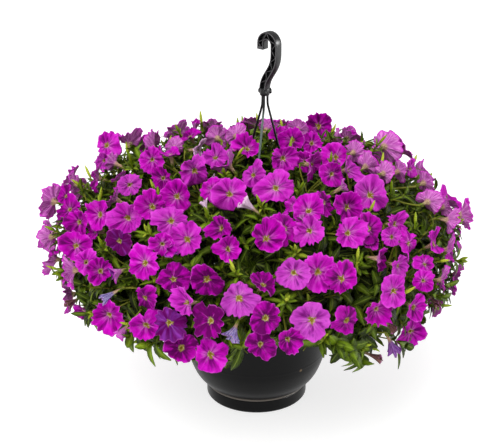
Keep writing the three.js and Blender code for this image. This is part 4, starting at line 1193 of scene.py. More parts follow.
def add_stalks(surface, spray, slot):
    """A thin tube that widens a little and swells to a cup round the foot of the bloom."""
    paths = stalk_paths(spray)
    share = np.linspace(0, 1, paths.shape[1])
    radii = 1.1 + 0.3 * share + 1.0 * np.exp(-((share - 0.97) / 0.07) ** 2)
    rings = tubes(paths, np.tile(radii, (len(spray), 1)), 6)
    tone = 0.55 + 0.01 * column(spray, "seed")
    surface.add(rings, *plain_marks(rings, share, tone, 1.0, tone * 9), slot)


print("points along a stalk:", stalk_paths(stems[0]["blooms"]).shape[1])

# %% Leaves and sepals
# Half a leaf's thickness in mm, and how much more it droops than it rises.
BLADE = {"thick": 0.32, "droop": 0.9}


def leaf_arc(t, curl):
    """The height of a leaf's middle line at the share t of its length, as a share of it: it rises by curl
    times t (1 - t) and droops by 0.9 curl times t squared."""
    return curl * (t * (1 - t) - BLADE["droop"] * t ** 2)


def leaf_blades(base, ahead, upward, length, width, tone, seed, rows, columns, curl, fold=0.35, foot=0.05):
    """Many leaves at once, each a thin closed blade round its arc. The half width is the width times t +
    foot to the power 0.75 times 1.02 - t to the power 0.65, scaled to its peak. Across, the halves rise by
    fold times the distance from the midrib."""
    t = np.linspace(0, 1, rows)
    ahead = unit(ahead)
    side = unit(np.cross(ahead, upward))
    normal = np.cross(side, ahead)
    wide = (t + foot) ** 0.75 * (1.02 - t) ** 0.65
    wide = wide / wide.max()
    turn = round_angles(columns)
    aside, lift = np.cos(turn), np.sin(turn)
    arc = leaf_arc(t, np.broadcast_to(curl, len(length))[:, None]) * length[:, None]
    half = wide[None, :, None] * (over_rings(width) / 2) * aside
    height = arc[..., None] + fold * np.abs(half) + BLADE["thick"] * lift
    middle = over_rings(base) + over_rings(ahead) * (t[None, :, None, None] * length[:, None, None, None])
    rings = middle + half[..., None] * over_rings(side) + height[..., None] * over_rings(normal)
    shape = rings.shape[:3]
    around = on_grid(shape, aside, lift < -0.1, over_rings(seed))
    return rings, around, on_grid(shape, t[:, None], over_rings(tone), 0)


def add_sepals(surface, spray, slot):
    """Five narrow blades round each calyx, with their drawn spread, length, tone and seed."""
    repeat = lambda name: np.repeat(column(spray, name), LOBES, axis=0)
    looks, calyx = repeat("looks"), repeat("calyx")
    out = across(looks, np.tile(round_angles(LOBES), len(spray)) + repeat("spin"))[0]
    count = len(looks)
    blades = leaf_blades(
        calyx + out * 1.3, looks + out * random_row(count, 0.25, 0.7)[:, None], -out + looks * 0.01,
        random_row(count, 8, 12), np.full(count, 2.7), random_row(count, 0.55, 0.85),
        random_row(count, 0, SEEDS), rows=5, columns=4, curl=-0.25, fold=0.0, foot=0.3)
    surface.add(*blades, slot)


print("a leaf's rise at its middle and its tip:", leaf_arc(np.array([0.5, 1.0]), 1.0))

# %% [markdown]
# Not all blooms are open. Some still open and some fade, and those are narrow, crumpled trumpets. Each is
# like the tube of a bloom that never spreads, from the calyx to the mouth and back inside.

# %% Blooms that open, fade or wither
# The ones of the photograph: the pixel of the mouth, the pixel of the calyx, the width of the mouth in
# pixels, and the tone.
FADING = [
    [196, 120, 193, 138, 9, 0.5], [242, 199, 262, 216, 13, 1.6], [112, 273, 124, 266, 14, -0.7],
    [67, 304, 84, 296, 9, -2.5], [103, 298, 118, 288, 10, -1.5], [171, 250, 162, 243, 12, -0.9],
    [231, 337, 238, 322, 17, -1.5], [394, 350, 390, 338, 13, -1.15], [216, 177, 208, 180, 10, 1.6],
    [120, 334, 126, 326, 12, 0.5], [394, 329, 388, 322, 8, -2.5], [381, 358, 360, 351, 7, -2.5],
    [438, 304, 427, 293, 7, -2.5], [268, 121, 272, 134, 9, 0.6], [352, 130, 345, 140, 10, 0.6],
    [203, 200, 207, 208, 8, 1.6], [158, 150, 166, 160, 9, 0.4], [300, 213, 309, 222, 7, 0.5],
]
crowns = column(stems, "crown")
# A mouth stands before the dome, and its calyx lies under it. Where that would make too long a trumpet, the
# calyx lies on its own line of sight, behind the mouth. All in mm.
TRUMPET = {"before": 6, "under": 12, "longest": 45, "behind": 10, "foot_radius": 1.7, "wall": 0.5}


def fading_blooms():
    """A small record like a bloom's for each row of the list, on the stem whose crown is nearest."""
    for x, y, from_x, from_y, width, tone in FADING:
        near, far = seen_point(x, y), seen_point(from_x, from_y)
        mouth = near + unit(EYE - near) * TRUMPET["before"]
        calyx = far - dome_normal(far) * TRUMPET["under"]
        if np.linalg.norm(mouth - calyx) > TRUMPET["longest"]:
            sight = unit(far - EYE)
            calyx = EYE + sight * (((mouth - EYE) @ FORWARD + TRUMPET["behind"]) / (sight @ FORWARD))
        stem = stems[nearest(crowns, calyx)]
        root = branch_point(stem["hub"], stem["tip"], calyx, PEDICEL["slope"], PEDICEL["least"])
        yield {"mouth": mouth, "calyx": calyx, "looks": unit(mouth - calyx), "root": root, "stem": stem,
               "radius": width * ((mouth - EYE) @ FORWARD) / FOCAL / 2, "tone": tone, "spin": np.float64(x),
               "seed": float(y % SEEDS)}


def fading_skin(bloom, outer=9, inner=6, columns=30):
    """A narrow trumpet of outer and inner rings. At the share t from the calyx to the mouth the radius is
    the tube's plus the rest times t to the power 2.4, folded in and out by cos 5u. The edge waves up and
    down with the cube of t, and the whole droops a little."""
    t = np.concatenate([np.linspace(0, 1, outer), np.linspace(1, 0.3, inner)])[:, None]
    inside = (np.arange(outer + inner) >= outer)[:, None]
    angle = round_angles(columns)
    waves = ripples(angle, np.arange(2, 9), random_table(1, 7, 0.0, 0.16))[0]
    fold = 1 + t ** 2 * (0.3 * np.cos(LOBES * angle + bloom["spin"]) + waves)
    foot = TRUMPET["foot_radius"]
    radius = (foot + (bloom["radius"] - foot) * t ** 2.4) * fold - TRUMPET["wall"] * inside
    side, up = across(bloom["looks"], bloom["spin"])
    reach = np.linalg.norm(bloom["mouth"] - bloom["calyx"])
    edge = 2.4 * t ** 3 * ripples(angle, np.arange(1, 7), random_table(1, 6, 0.1, 0.8))[0]
    drop = np.array([0, 0, -3.0]) * (t ** 2)[..., None]
    ahead = bloom["looks"] * (t * reach + edge)[..., None]
    rings = bloom["calyx"] + ahead + radius[..., None] * spokes(side, up, angle) + drop
    grid = rings.shape[:2]
    around = on_grid(grid, np.cos(angle), np.sin(angle), bloom["seed"])
    mark = on_grid(grid, 1.5 * t - 0.5, bloom["tone"], ~inside)
    return rings[None], around[None], mark[None]


fading = list(fading_blooms())
print("fading blooms:", len(fading))


# %% The sprays
def finished(surface, name, materials, slot, *nodes):
    """Makes a surface's object, lets it stand for its nodes and ride on the basket. The slot is not used."""
    piece = surface.piece(name, materials)
    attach(piece, "root")
    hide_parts(*nodes)


PETALS, GREEN = 0, 1
STALK_RINGS = 4


def spray_surface(stem):
    """The open blooms, the fading ones and the spray's own thick stalk, as one surface with two
    materials."""
    surface = Surface()
    surface.add(*bloom_skin(stem["blooms"]), PETALS)
    add_stalks(surface, stem["blooms"], GREEN)
    add_sepals(surface, stem["blooms"], GREEN)
    own = [bloom for bloom in fading if bloom["stem"] is stem]
    for bloom in own:
        surface.add(*fading_skin(bloom), PETALS)
    if own:
        add_stalks(surface, own, GREEN)
        add_sepals(surface, own, GREEN)
    share = np.linspace(0, 1, STALK_RINGS)
    path = stem["hub"] + stem["outward"] * CLEARANCE + (stem["tip"] - stem["hub"]) * share[:, None]
    rings = tubes(path[None], np.linspace(STALK["radius"], STALK["tip_radius"] - 1.2, STALK_RINGS)[None], 8)
    surface.add(rings, *plain_marks(rings, share, 0.6, 1.0), GREEN)
    return surface


triangles = 0
for k, stem in enumerate(stems):
    surface = spray_surface(stem)
    name = f"bloom_spray_{k + 1:02}"
    finished(surface, name + "_petals", [petal_material, green_material], "petals", name)
    triangles += surface.triangle_count
print("triangles in the sprays:", triangles)

# %% [markdown]
# Between the blooms grow leafy shoots: tufts of narrow leaves round a tip, in the spiral of about 137.5
# degrees in which most plants set their leaves. The rule of the solids gives the tips in the gaps. The
# scene adds sprigs that the photograph shows at the foot and top of the plant, tufts along the dome's
# outline and under the blooms, and further in ever larger leaves, which close the view through the plant.
# The deeper leaves are darker, as painted shade inside the plant.

# %% Where the shoots end
SHOOT_PLACES = 103
# How far a tip is pushed off blooms and other tips in mm, the share of that in each round, and the rounds.
SHOOT = {"off_bloom": 42, "off_shoot": 50, "push": 0.4, "rounds": 12, "slope": 0.5, "least": 6}


def place_shoots():
    """Tips in the gaps. In each round each tip is pushed off blooms and other tips that are too near, then
    set back on the dome by dividing its distance from the dome's middle by its share to the power 1/2.3."""
    tips = spiral_places(SHOOT_PLACES, LOWEST_BLOOM - 10, 20)
    tips = tips[~before_bowl(tips)]
    places = column(blooms, "place")
    core = np.array([0, 0, DOME["middle"]])
    for _ in range(SHOOT["rounds"]):
        for k in range(len(tips)):
            push = np.zeros(3)
            for others, reach in ((places, SHOOT["off_bloom"]), (tips, SHOOT["off_shoot"])):
                away = tips[k] - others
                gap = np.linalg.norm(away, axis=1)
                near = (gap > 1e-6) & (gap < reach)
                push += (away[near] * (SHOOT["push"] * (reach - gap[near]) / gap[near])[:, None]).sum(axis=0)
            moved = tips[k] + push - core
            tips[k] = moved * dome_share(moved + core) ** (-1 / DOME["power"]) + core
    return tips


gap_tips = place_shoots()
# The tufts that only the scene has take other draws.
placing = draws(4711)
under_tips = spiral_places(330, 150, 40)
fill_tips = spiral_places(320, 160, 50)
deep_tips = spiral_places(170, 150, 60)
core_tips = spiral_places(90, 190, 60)
edge_tips = spiral_places(560, 175, 40)
# The outline is where the dome's normal is nearly square to the line to the camera.
edge_tips = edge_tips[np.abs((dome_normal(edge_tips) * unit(EYE - edge_tips)).sum(-1)) < 0.33]
# Sprigs that the photograph shows at the foot and the top of the plant, by pixel.
SPRIGS = [(351, 349), (362, 360), (338, 345), (150, 345), (128, 338), (441, 296), (404, 344), (244, 352),
          (300, 352), (249, 131), (268, 131), (135, 151), (141, 158), (331, 137)]
sprig_tips = np.array([seen_point(x, y) for x, y in SPRIGS])
print("tips in the gaps, sprigs and tips along the outline:", len(gap_tips), len(sprig_tips), len(edge_tips))


# %% Leaves that keep clear of the petals
# To the right of this pixel across, no leaf hangs before the bowl.
HANGING_LEAF = 240


def pierces(points, room=1.0):
    """Whether any point of each leaf lies in the shallow cone of a bloom. points is (leaves, points, 3)."""
    hit = np.zeros(len(points), dtype=bool)
    for bloom in blooms:
        hit |= in_limb(points, room, bloom).any(axis=1)
    return hit


def leaf_middles(base, ahead, upward, length, curl):
    """Points on the middle lines of leaves, for the test against petals."""
    t = np.linspace(0.3, 1.0, 5)
    ahead = unit(ahead)
    normal = np.cross(unit(np.cross(ahead, upward)), ahead)
    arc = leaf_arc(t, curl[:, None])
    along = ahead[:, None] * t[:, None] + normal[:, None] * arc[..., None]
    return base[:, None] + length[:, None, None] * along


SHORTER = 0.65


def add_leaves(surface, rows, base, ahead, upward, length, width, tone, seed, curl):
    """Adds the leaves that clear the petals and the bare bowl. The others are tried once more, shorter and
    narrower, and then left out."""
    kept = 0
    for scale in (1.0, SHORTER):
        if not len(base):
            break
        length, width = length * scale, width * (0.5 + 0.5 * scale)
        middles = leaf_middles(base, ahead, upward, length, curl)
        hides = before_bowl(middles) & (seen_at(middles)[0] > HANGING_LEAF)
        clear = ~pierces(middles) & ~hides.any(axis=1)
        if clear.any():
            surface.add(*leaf_blades(base[clear], ahead[clear], upward[clear], length[clear], width[clear],
                                     tone[clear], seed[clear], rows=rows, columns=4, curl=curl[clear]))
            kept += int(clear.sum())
        base, ahead, upward, length, width, tone, seed, curl = (
            v[~clear] for v in (base, ahead, upward, length, width, tone, seed, curl))
    return kept


print("tips in the gaps that lie in a bloom's cone:", int(pierces(gap_tips[:, None]).sum()))


# %% The leaves of a shoot
# Leaves below this height in mm are longer, wider and darker, the more so down to the foot of the plant.
LOW_LEAF = {"below": 340, "within": 120, "longer": 0.12, "wider": 0.6, "darker": 0.12}
# A drawn turn in radians goes anywhere round.
ANY_TURN = (0, 6.28)


def shoot_leaves(ends, axes, starts, kind):
    """The leaves of many shoots: base points spread from starts to ends, each turned 137.5 degrees on from
    the last and opened from its axis by an angle that shrinks towards the tip. A kind's pairs are for the
    lowest leaf and the topmost one, and each leaf strays from them a little."""
    count, leaves = len(ends), kind["leaves"]
    share = (np.arange(leaves) / (leaves - 1))[None, :].repeat(count, 0)
    from_to = lambda name: kind[name][0] + (kind[name][1] - kind[name][0]) * share
    jitter = lambda low, high: random_table(count, leaves, low, high)
    turn = np.arange(leaves)[None, :] * math.radians(GOLDEN_ANGLE) + random_row(count, *ANY_TURN)[:, None]
    base = starts[:, None] + (ends - starts)[:, None] * share[..., None]
    side, up = across(axes)
    out = spokes(side[:, None], up[:, None], turn)
    opened = np.radians(from_to("open") + jitter(-10, 10))
    ahead = spokes(axes[:, None], out, opened)
    ahead = ahead + np.stack([jitter(-0.3, 0.3), jitter(-0.3, 0.3), jitter(-0.3, 0.3)], -1)
    upward = np.broadcast_to(axes[:, None] + 0.02 * out, base.shape)
    length = from_to("length") * jitter(0.6, 1.3)
    width = from_to("width") * jitter(0.75, 1.2)
    low = np.clip((LOW_LEAF["below"] - ends[:, 2:]) / LOW_LEAF["within"], 0, 1)
    length, width = length * (1 + LOW_LEAF["longer"] * low), width * (1 + LOW_LEAF["wider"] * low)
    tone = from_to("tone") + jitter(-0.2, 0.2) - LOW_LEAF["darker"] * low
    flat = lambda v: v.reshape(count * leaves, *v.shape[2:])
    return [flat(v) for v in (base, ahead, upward, length, width, tone, jitter(0, SEEDS), jitter(-0.1, 0.8))]


# Every kind of shoot: its tips, how deep under the dome they end in mm, the number of leaves, the lengths
# and widths in mm, tones and opening in degrees of its lowest and topmost leaf, and the rings in a leaf.
# The deeper a kind ends under the dome, the darker its tones, as painted shade inside the plant.
KINDS = [
    {"tips": gap_tips, "depth": (4, 18), "leaves": 13, "length": (33, 12), "width": (10, 4.5),
     "tone": (0.35, 0.85), "open": (85, 15), "rings": 7},
    {"tips": sprig_tips, "depth": (-2, 8), "leaves": 9, "length": (38, 22), "width": (14, 9),
     "tone": (0.4, 0.6), "open": (75, 25), "rings": 7},
    {"tips": under_tips, "depth": (16, 50), "leaves": 8, "length": (34, 18), "width": (11, 7),
     "tone": (0.25, 0.62), "open": (85, 25), "rings": 6},
    {"tips": fill_tips, "depth": (26, 72), "leaves": 6, "length": (42, 32), "width": (17, 12),
     "tone": (0.08, 0.35), "open": (85, 40), "rings": 5},
    {"tips": deep_tips, "depth": (70, 118), "leaves": 6, "length": (58, 44), "width": (25, 19),
     "tone": (0.0, 0.2), "open": (85, 40), "rings": 5},
    {"tips": core_tips, "depth": (120, 180), "leaves": 6, "length": (64, 50), "width": (30, 24),
     "tone": (0.0, 0.1), "open": (85, 40), "rings": 5},
    {"tips": edge_tips, "depth": (12, 60), "leaves": 6, "length": (38, 24), "width": (13, 8),
     "tone": (0.12, 0.5), "open": (85, 30), "rings": 5},
]
for kind in KINDS:
    kind["owner"] = np.linalg.norm(kind["tips"][:, None] - crowns[None], axis=2).argmin(axis=1)
print("kinds of shoots and all their tips:", len(KINDS), sum(len(kind["tips"]) for kind in KINDS))


# %% The leafy stems
SHOOT_RINGS = 6
TUFT = 26
# A bud in mm: how far under the tip it starts, the air round it, and its radii from foot to point.
BUD = {"under": 6, "room": 2.5, "length": (24, 38), "radii": [0.8, 0.9, 1.1, 1.9, 2.5, 2.7, 2.4, 1.6, 0.6]}


def shoots_of(stem, tips, depths):
    """For the tips that a stem feeds: the curve from a root on the stem to the end under the dome, and the
    way that it points there, which is half along the curve and half out of the plant and up."""
    normals = dome_normal(tips)
    ends = tips - normals * depths[:, None]
    foot, hub = stem["route"][-2], stem["hub"]
    roots = np.array([branch_point(foot, hub, end, SHOOT["slope"], SHOOT["least"]) for end in ends])
    reach = np.linalg.norm(ends - roots, axis=1, keepdims=True)
    leave = unit(unit(hub - foot) * 0.6 + unit(ends - roots))
    arrive = unit(unit(ends - roots) + normals * 0.9 + np.array([0, 0, 0.35]))
    corners = np.stack([roots, roots + leave * reach * 0.35, ends - arrive * reach * 0.35, ends], 1)
    return cubic(corners, SHOOT_RINGS), arrive


def add_buds(surface, ends, axes):
    """A long closed bud beside each tip: a spindle on a path that bends aside with the square of the
    distance. It takes the green finish of a leaf without its midrib."""
    count = len(ends)
    side, _ = across(axes, random_row(count, *ANY_TURN))
    ahead = unit(axes + side * random_row(count, 0.1, 0.5)[:, None] + np.array([0, 0, 0.3]))
    steps = np.linspace(0, 1, len(BUD["radii"]))
    whole = (ahead * random_row(count, *BUD["length"])[:, None])[:, None]
    bend = (ends - axes * BUD["under"])[:, None] + whole * steps[:, None]
    bend += (side[:, None] * 2.5) * (steps[:, None] ** 2)
    bend = bend[~pierces(bend, BUD["room"])]
    if len(bend):
        rings = tubes(bend, np.tile(BUD["radii"], (len(bend), 1)), 8)
        around, mark = plain_marks(rings, steps, random_row(len(bend), 0.68, 0.95), 0.0)
        around[..., 0] = 1
        surface.add(rings, around, mark)


def add_shoots(surface, stem, kind, tips):
    """The shoots of one kind on a stem: thin tubes, the leaves round their last stretch, and buds at the
    tips in the gaps. Returns the number of leaves."""
    paths, axes = shoots_of(stem, tips, random_row(len(tips), *kind["depth"]))
    rings = tubes(paths, np.tile(np.linspace(1.7, 1.0, SHOOT_RINGS), (len(tips), 1)), 4)
    tones = random_row(len(tips), 0.4, 0.8)
    surface.add(rings, *plain_marks(rings, np.linspace(0, 1, SHOOT_RINGS), tones, 1.0))
    ends = paths[:, -1]
    reach = np.linalg.norm(ends - paths[:, 0], axis=1, keepdims=True)
    starts = ends - axes * np.minimum(reach * 0.6, TUFT)
    leaves = add_leaves(surface, kind["rings"], *shoot_leaves(ends, axes, starts, kind))
    if kind["tips"] is gap_tips:
        add_buds(surface, ends, axes)
    return leaves


def add_stem(surface, stem, steps=13):
    """The stem itself: a tube that starts in the soil and follows the curve to the hub."""
    path = np.concatenate([stem["start"][None, None], cubic(np.array([stem["corners"]]), steps)], axis=1)
    share = np.linspace(0, 1, steps + 1)
    rings = tubes(path, (STEM["radius"] + (STEM["tip_radius"] - STEM["radius"]) * share)[None], 8)
    surface.add(rings, *plain_marks(rings, share, 0.5, 1.0))


leaf_count, triangles = 0, 0
for k, stem in enumerate(stems):
    surface = Surface()
    add_stem(surface, stem)
    for kind in KINDS:
        mine = kind["tips"][kind["owner"] == k]
        if len(mine):
            leaf_count += add_shoots(surface, stem, kind, mine)
    name = f"leafy_stem_{k + 1:02}"
    finished(surface, name + "_leaves", [green_material], "foliage", name)
    triangles += surface.triangle_count
print("leaves:", leaf_count, "triangles in the leafy stems:", triangles)

# %% [markdown]
# The bowl and its saucer are turned shapes, so a profile carried round the axis gives them. Real moulded
# edges are never sharp: each corner of the profile is eased by a small curve, which catches a line of
# light.

# %% Profiles
def eased(profile, softness):
    """A profile whose inner corners are cut back by the softness along both edges, with a point of the
    quadratic curve between them."""
    profile = np.array(profile, dtype=float)
    before, corner, after = profile[:-2], profile[1:-1], profile[2:]
    step = lambda end: np.minimum(softness / np.linalg.norm(end - corner, axis=1, keepdims=True), 0.4)
    start = corner + (before - corner) * step(before)
    stop = corner + (after - corner) * step(after)
    middle = 0.25 * start + 0.5 * corner + 0.25 * stop
    inner = np.stack([start, middle, stop], 1).reshape(-1, 2)
    return np.concatenate([profile[:1], inner, profile[-1:]])


def smooth_line(points, steps):
    """Points on a smooth curve: a cubic through every given point, whose slope there is half the step
    between its neighbours."""
    points = np.array(points, dtype=float)
    ends = np.concatenate([2 * points[:1] - points[1:2], points, 2 * points[-1:] - points[-2:-1]])
    a, b, c, d = ends[:-3], ends[1:-2], ends[2:-1], ends[3:]
    t = np.linspace(0, 1, steps, endpoint=False)[:, None, None]
    square, cube = 2 * a - 5 * b + 4 * c - d, 3 * b - a - 3 * c + d
    curve = 0.5 * (2 * b + (c - a) * t + square * t ** 2 + cube * t ** 3)
    return np.concatenate([curve.transpose(1, 0, 2).reshape(-1, points.shape[1]), points[-1:]])


def turned(profile, sides=128, centre=(0, 0)):
    """Rings of a profile of radius and height, carried round an upright axis."""
    radius, height = np.array(profile).T
    angle = round_angles(sides)
    x = centre[0] + radius[:, None] * np.cos(angle)
    y = centre[1] + radius[:, None] * np.sin(angle)
    return np.stack([x, y, np.broadcast_to(height[:, None], x.shape)], -1)[None]


def add_plain(surface, *parts):
    """Adds rings whose material reads only their place."""
    for rings in parts:
        surface.add(rings, np.zeros(3), np.zeros(3))


def plain_piece(name, material, slot, node, *parts):
    """One piece of such rings. Returns the number of its triangles."""
    surface = Surface()
    add_plain(surface, *parts)
    finished(surface, name, [material], slot, node)
    return surface.triangle_count


print("points round the bowl's belt:", turned([(1, 0), (1, 1)]).shape[2])

# %% [markdown]
# Real moulded plastic is never one grey. It has clouds, a fine grain, turned lines on the bowl and a few
# scuffs. On top come painted highlights along the saucer's lip and the hook's edges, painted shade in the
# groove under the lip, and a painted sheen on the lower part of one strand. All of them but the hook's
# highlight, which follows the mesh's mark, read the place on the object, so no pattern has to be laid on by
# hand.

# %% The finish of the moulded plastic
# A scuff on the front of the bowl's wall, and the heights in metres between which the painted highlight
# on the saucer's lip and the painted shade in the groove under it lie: where each starts to show and is
# full, and where it is full and gone again.
SCUFF = (0.0777, -0.0983, 0.0913)
LIP_HIGHLIGHT = {"up": (0.0240, 0.0252), "down": (0.0284, 0.0272)}
GROOVE_SHADE = {"up": (0.0212, 0.0222), "down": (0.0244, 0.0238)}


def plastic_finish(name, dark, light, roughness, lines, gloss, sheen_below=None):
    """Charcoal plastic: clouds and grain in the colour, turned lines where lines is above 0, and scuffs
    that are paler and duller. The saucer has a painted highlight along its lip over painted shade in the
    groove under it, the bowl's wall has one mark, and the hook's edges carry a painted highlight where the
    mesh's mark is near 1. Below a height in metres one strand carries a painted sheen."""
    finish = Finish(name, Specular_IOR_Level=gloss)
    place = finish.place()
    height = finish.split(place)[2]
    cloud = finish.noise(place, 14, 3)
    grain = finish.noise(place, 1400, 2)
    streak = finish.noise(finish.join(0.0, 0.0, height * 900), 1.0, 1)
    scuff = finish.range(finish.noise(place, 60, 4, 0.7), 0.69, 0.8)
    colour = finish.mix((cloud * 0.7 + grain * 0.3).clipped(), dark, light)
    colour = finish.mix(scuff * 0.35, colour, rgb(120, 116, 110))
    # Painted highlight along the saucer's lip, and painted shade in the groove under it.
    lip_highlight = finish.range(height, *LIP_HIGHLIGHT["up"]) * finish.range(height, *LIP_HIGHLIGHT["down"])
    groove_shade = finish.range(height, *GROOVE_SHADE["up"]) * finish.range(height, *GROOVE_SHADE["down"])
    off = finish.node("ShaderNodeVectorMath", {"operation": "DISTANCE"}, {0: place, 1: SCUFF}, result="Value")
    rubbed = finish.range(off + (grain - 0.5) * 0.004, 0.004, 0.001)
    colour = finish.mix(lip_highlight * 0.75, colour, rgb(128, 120, 112))
    colour = finish.mix(groove_shade * 0.8, colour, rgb(3, 3, 3))
    colour = finish.mix(rubbed * 0.5, colour, rgb(150, 124, 92))
    # Painted highlight along the hook's edges and ribs, where the mesh's mark is near 1.
    edge = finish.mark("mark")[0]
    colour = finish.mix(finish.range(edge, 0.88, 1.0) * 0.8, colour, rgb(84, 82, 84))
    # Below that height one strand turns a paler grey-green: a painted sheen.
    if sheen_below:
        faded = finish.range(height + (cloud - 0.5) * 0.02, sheen_below + 0.008, sheen_below - 0.008)
        colour = finish.mix(faded * 0.8, colour, rgb(104, 120, 112))
    rough = cloud * 0.12 + scuff * 0.2 + (roughness - 0.06)
    return finish.done(colour, rough, grain * 0.5 + streak * lines, 0.00012)


pot_material = plastic_finish("pot", rgb(6, 6, 7), rgb(12, 12, 13), 0.34, 1.2, 0.12)
hanger_material = plastic_finish("hanger", rgb(10, 10, 11), rgb(22, 22, 24), 0.33, 0.0, 0.36)
strand_material = plastic_finish("strand", rgb(6, 6, 7), rgb(14, 14, 15), 0.42, 0.0, 0.24)
# The front strand's lower part gets a painted sheen.
sheen_strand_material = plastic_finish("strand sheen", rgb(6, 6, 7), rgb(14, 14, 15), 0.42, 0.0, 0.24, 0.535)
print("nodes of the pot's finish:", len(pot_material.node_tree.nodes))

# %% The bowl
# Radius and height in mm, and the fine belt line on the wall.
BOWL_FOOT = [(79, 3.2), (86.5, 14), (85.5, 18), (87.6, 27)]
BOWL_WALL = [(87.6, 27), (97.5, 32), (112, 50), (122.5, 76), (126.4, 97), (128.9, 122), (130.8, 148)]
BOWL_RIM = [(130.8, 148), (135, 149.5), (134.3, 155.5), (129.2, 155.5)]
BOWL_INSIDE = [(129.2, 155.5), (123.9, 98), (111, 56), (85.5, 29), (78, 7), (2, 7)]
BELT = {"height": 93.0, "proud": 0.45, "width": 0.9}
wall = smooth_line(BOWL_WALL, 12)
wall[:, 0] += BELT["proud"] * np.exp(-((wall[:, 1] - BELT["height"]) / BELT["width"]) ** 2)
bowl = np.concatenate([
    eased(BOWL_FOOT, 1.2)[:-1], wall[:-1], eased(BOWL_RIM, 0.8)[:-1], eased(BOWL_INSIDE, 1.5)])


def superellipse(angle, power):
    """How much further out than a circle a rounded square lies in each direction. A high power has sharp
    corners."""
    return (np.abs(np.cos(angle)) ** power + np.abs(np.sin(angle)) ** power) ** (-1 / power)


def block(low, high, azimuth, softness=0.6, columns=16):
    """Rings of an upright box with eased edges, turned about Z. The section is a superellipse of power
    8."""
    low, high = np.array(low), np.array(high)
    angle = round_angles(columns) + np.pi / columns
    corner = superellipse(angle, 8)
    heights = np.array([low[2], low[2] + softness, high[2] - softness, high[2]])
    shrink = np.array([softness, 0, 0, softness])[:, None]
    half = (high - low) / 2
    x = (low[0] + high[0]) / 2 + (half[0] - shrink) * np.clip(corner * np.cos(angle), -1, 1)
    y = (low[1] + high[1]) / 2 + (half[1] - shrink) * np.clip(corner * np.sin(angle), -1, 1)
    turn = math.radians(azimuth)
    z = np.broadcast_to(heights[:, None], x.shape)
    return np.stack([x * np.cos(turn) - y * np.sin(turn), x * np.sin(turn) + y * np.cos(turn), z], -1)[None]


lug_low = (LUG["inner"], -LUG["width"] / 2, LUG["bottom"])
lug_high = (LUG["outer"], LUG["width"] / 2, LUG["top"])
lugs = [block(lug_low, lug_high, azimuth) for azimuth in STRAND_AZIMUTHS]
triangles = plain_piece("pot_bowl", pot_material, "pot", "pot", turned(bowl), *lugs)
print("triangles in the bowl:", triangles)

# %% The saucer and the soil
SAUCER = [(2, 0), (89, 0), (91.4, 3), (91.4, 22.6), (90.9, 23.4), (92.6, 25.6), (91, 28),
          (88.8, 22), (86, 18.2), (88.2, 14.5), (86, 2.8), (2, 2.8)]
plain_piece("saucer_dish", pot_material, "pot", "drip_saucer", turned(eased(SAUCER, 0.7)))


def soil_finish():
    """Damp bark and peat: brown crumbs in several sizes, with pale specks."""
    finish = Finish("soil", Specular_IOR_Level=0.2)
    place = finish.place()
    crumbs = finish.noise(place, 260, 5, 0.7)
    bits = finish.node("ShaderNodeTexVoronoi", sockets={"Vector": place, "Scale": 190.0})
    colour = finish.mix(crumbs, rgb(26, 17, 10), rgb(96, 68, 44))
    colour = finish.mix(finish.range(bits, 0.16, 0.08) * 0.5, colour, rgb(190, 178, 156))
    return finish.done(colour, 0.85 + crumbs * 0.1, crumbs + bits, 0.002)


# The soil's side fits the inside of the bowl. Its top is a low cone with crumbs, from the crown's edge to
# its middle, so many mm higher.
SOIL_SIDE = [(2, 7.4), (77.5, 7.4), (84.9, 29.4), (110.3, 56.3), (123.3, 98.2), (126.9, SOIL_TOP)]
CROWN = {"edge": 124, "middle": 2, "higher": 3, "crumbs": 0.9}
crown_radii = np.linspace(CROWN["edge"], CROWN["middle"], 30)
crown = np.stack([crown_radii, SOIL_TOP + CROWN["higher"] * (1 - crown_radii / CROWN["edge"])], 1)
rings = turned(np.concatenate([eased(SOIL_SIDE, 1.0), crown]), 96)
x, y, z = np.moveaxis(rings, -1, 0)
crumbs = (np.sin(x * 0.31 + 1) * np.sin(y * 0.27) + 0.6 * np.sin(x * 0.83) * np.sin(y * 0.71 + 2)
          + 0.4 * np.sin(x * 1.9 + y * 1.3))
rings[..., 2] += np.where(z >= SOIL_TOP, CROWN["crumbs"] * crumbs, 0)
plain_piece("potting_soil", soil_finish(), "soil", "soil", rings)
print("radius of the saucer and of the soil in mm:", max(r for r, _ in SAUCER), max(r for r, _ in SOIL_SIDE))

# %% [markdown]
# The hook is one moulding: an I-section with diagonal ribs that runs up from a collar, leans back and turns
# over in a half circle. It could be a flat shape with pockets cut into it, but a cut leaves ragged meshes.
# Here the two flanges and the web are plain sections swept along the hook's line, and the ribs are bars
# between the flanges, so the real open pockets stay open.

# %% The line of the hook
# Its azimuth, its sections, how far apart the ribs are, and its line: where its back stands and its arch
# turns, in mm. The line starts in the collar and its curve has two handles, which lean a little, rise and
# fall.
HOOK = {"azimuth": -40, "width": 15, "thickness": 13, "flange": 2, "web": 2.6, "rib": 1.6, "pitch": 11,
        "back": 24.1, "back_height": 645, "radius": 14.5, "arch_height": 660.2, "tip_height": 649.6,
        "in_collar": 2, "lean": 1, "rise": 26, "fall": 32}
COLLAR = {"radius": 8.5, "bottom": 569, "top": 582, "boss": 5, "reach": 11.5, "boss_height": 575.5}


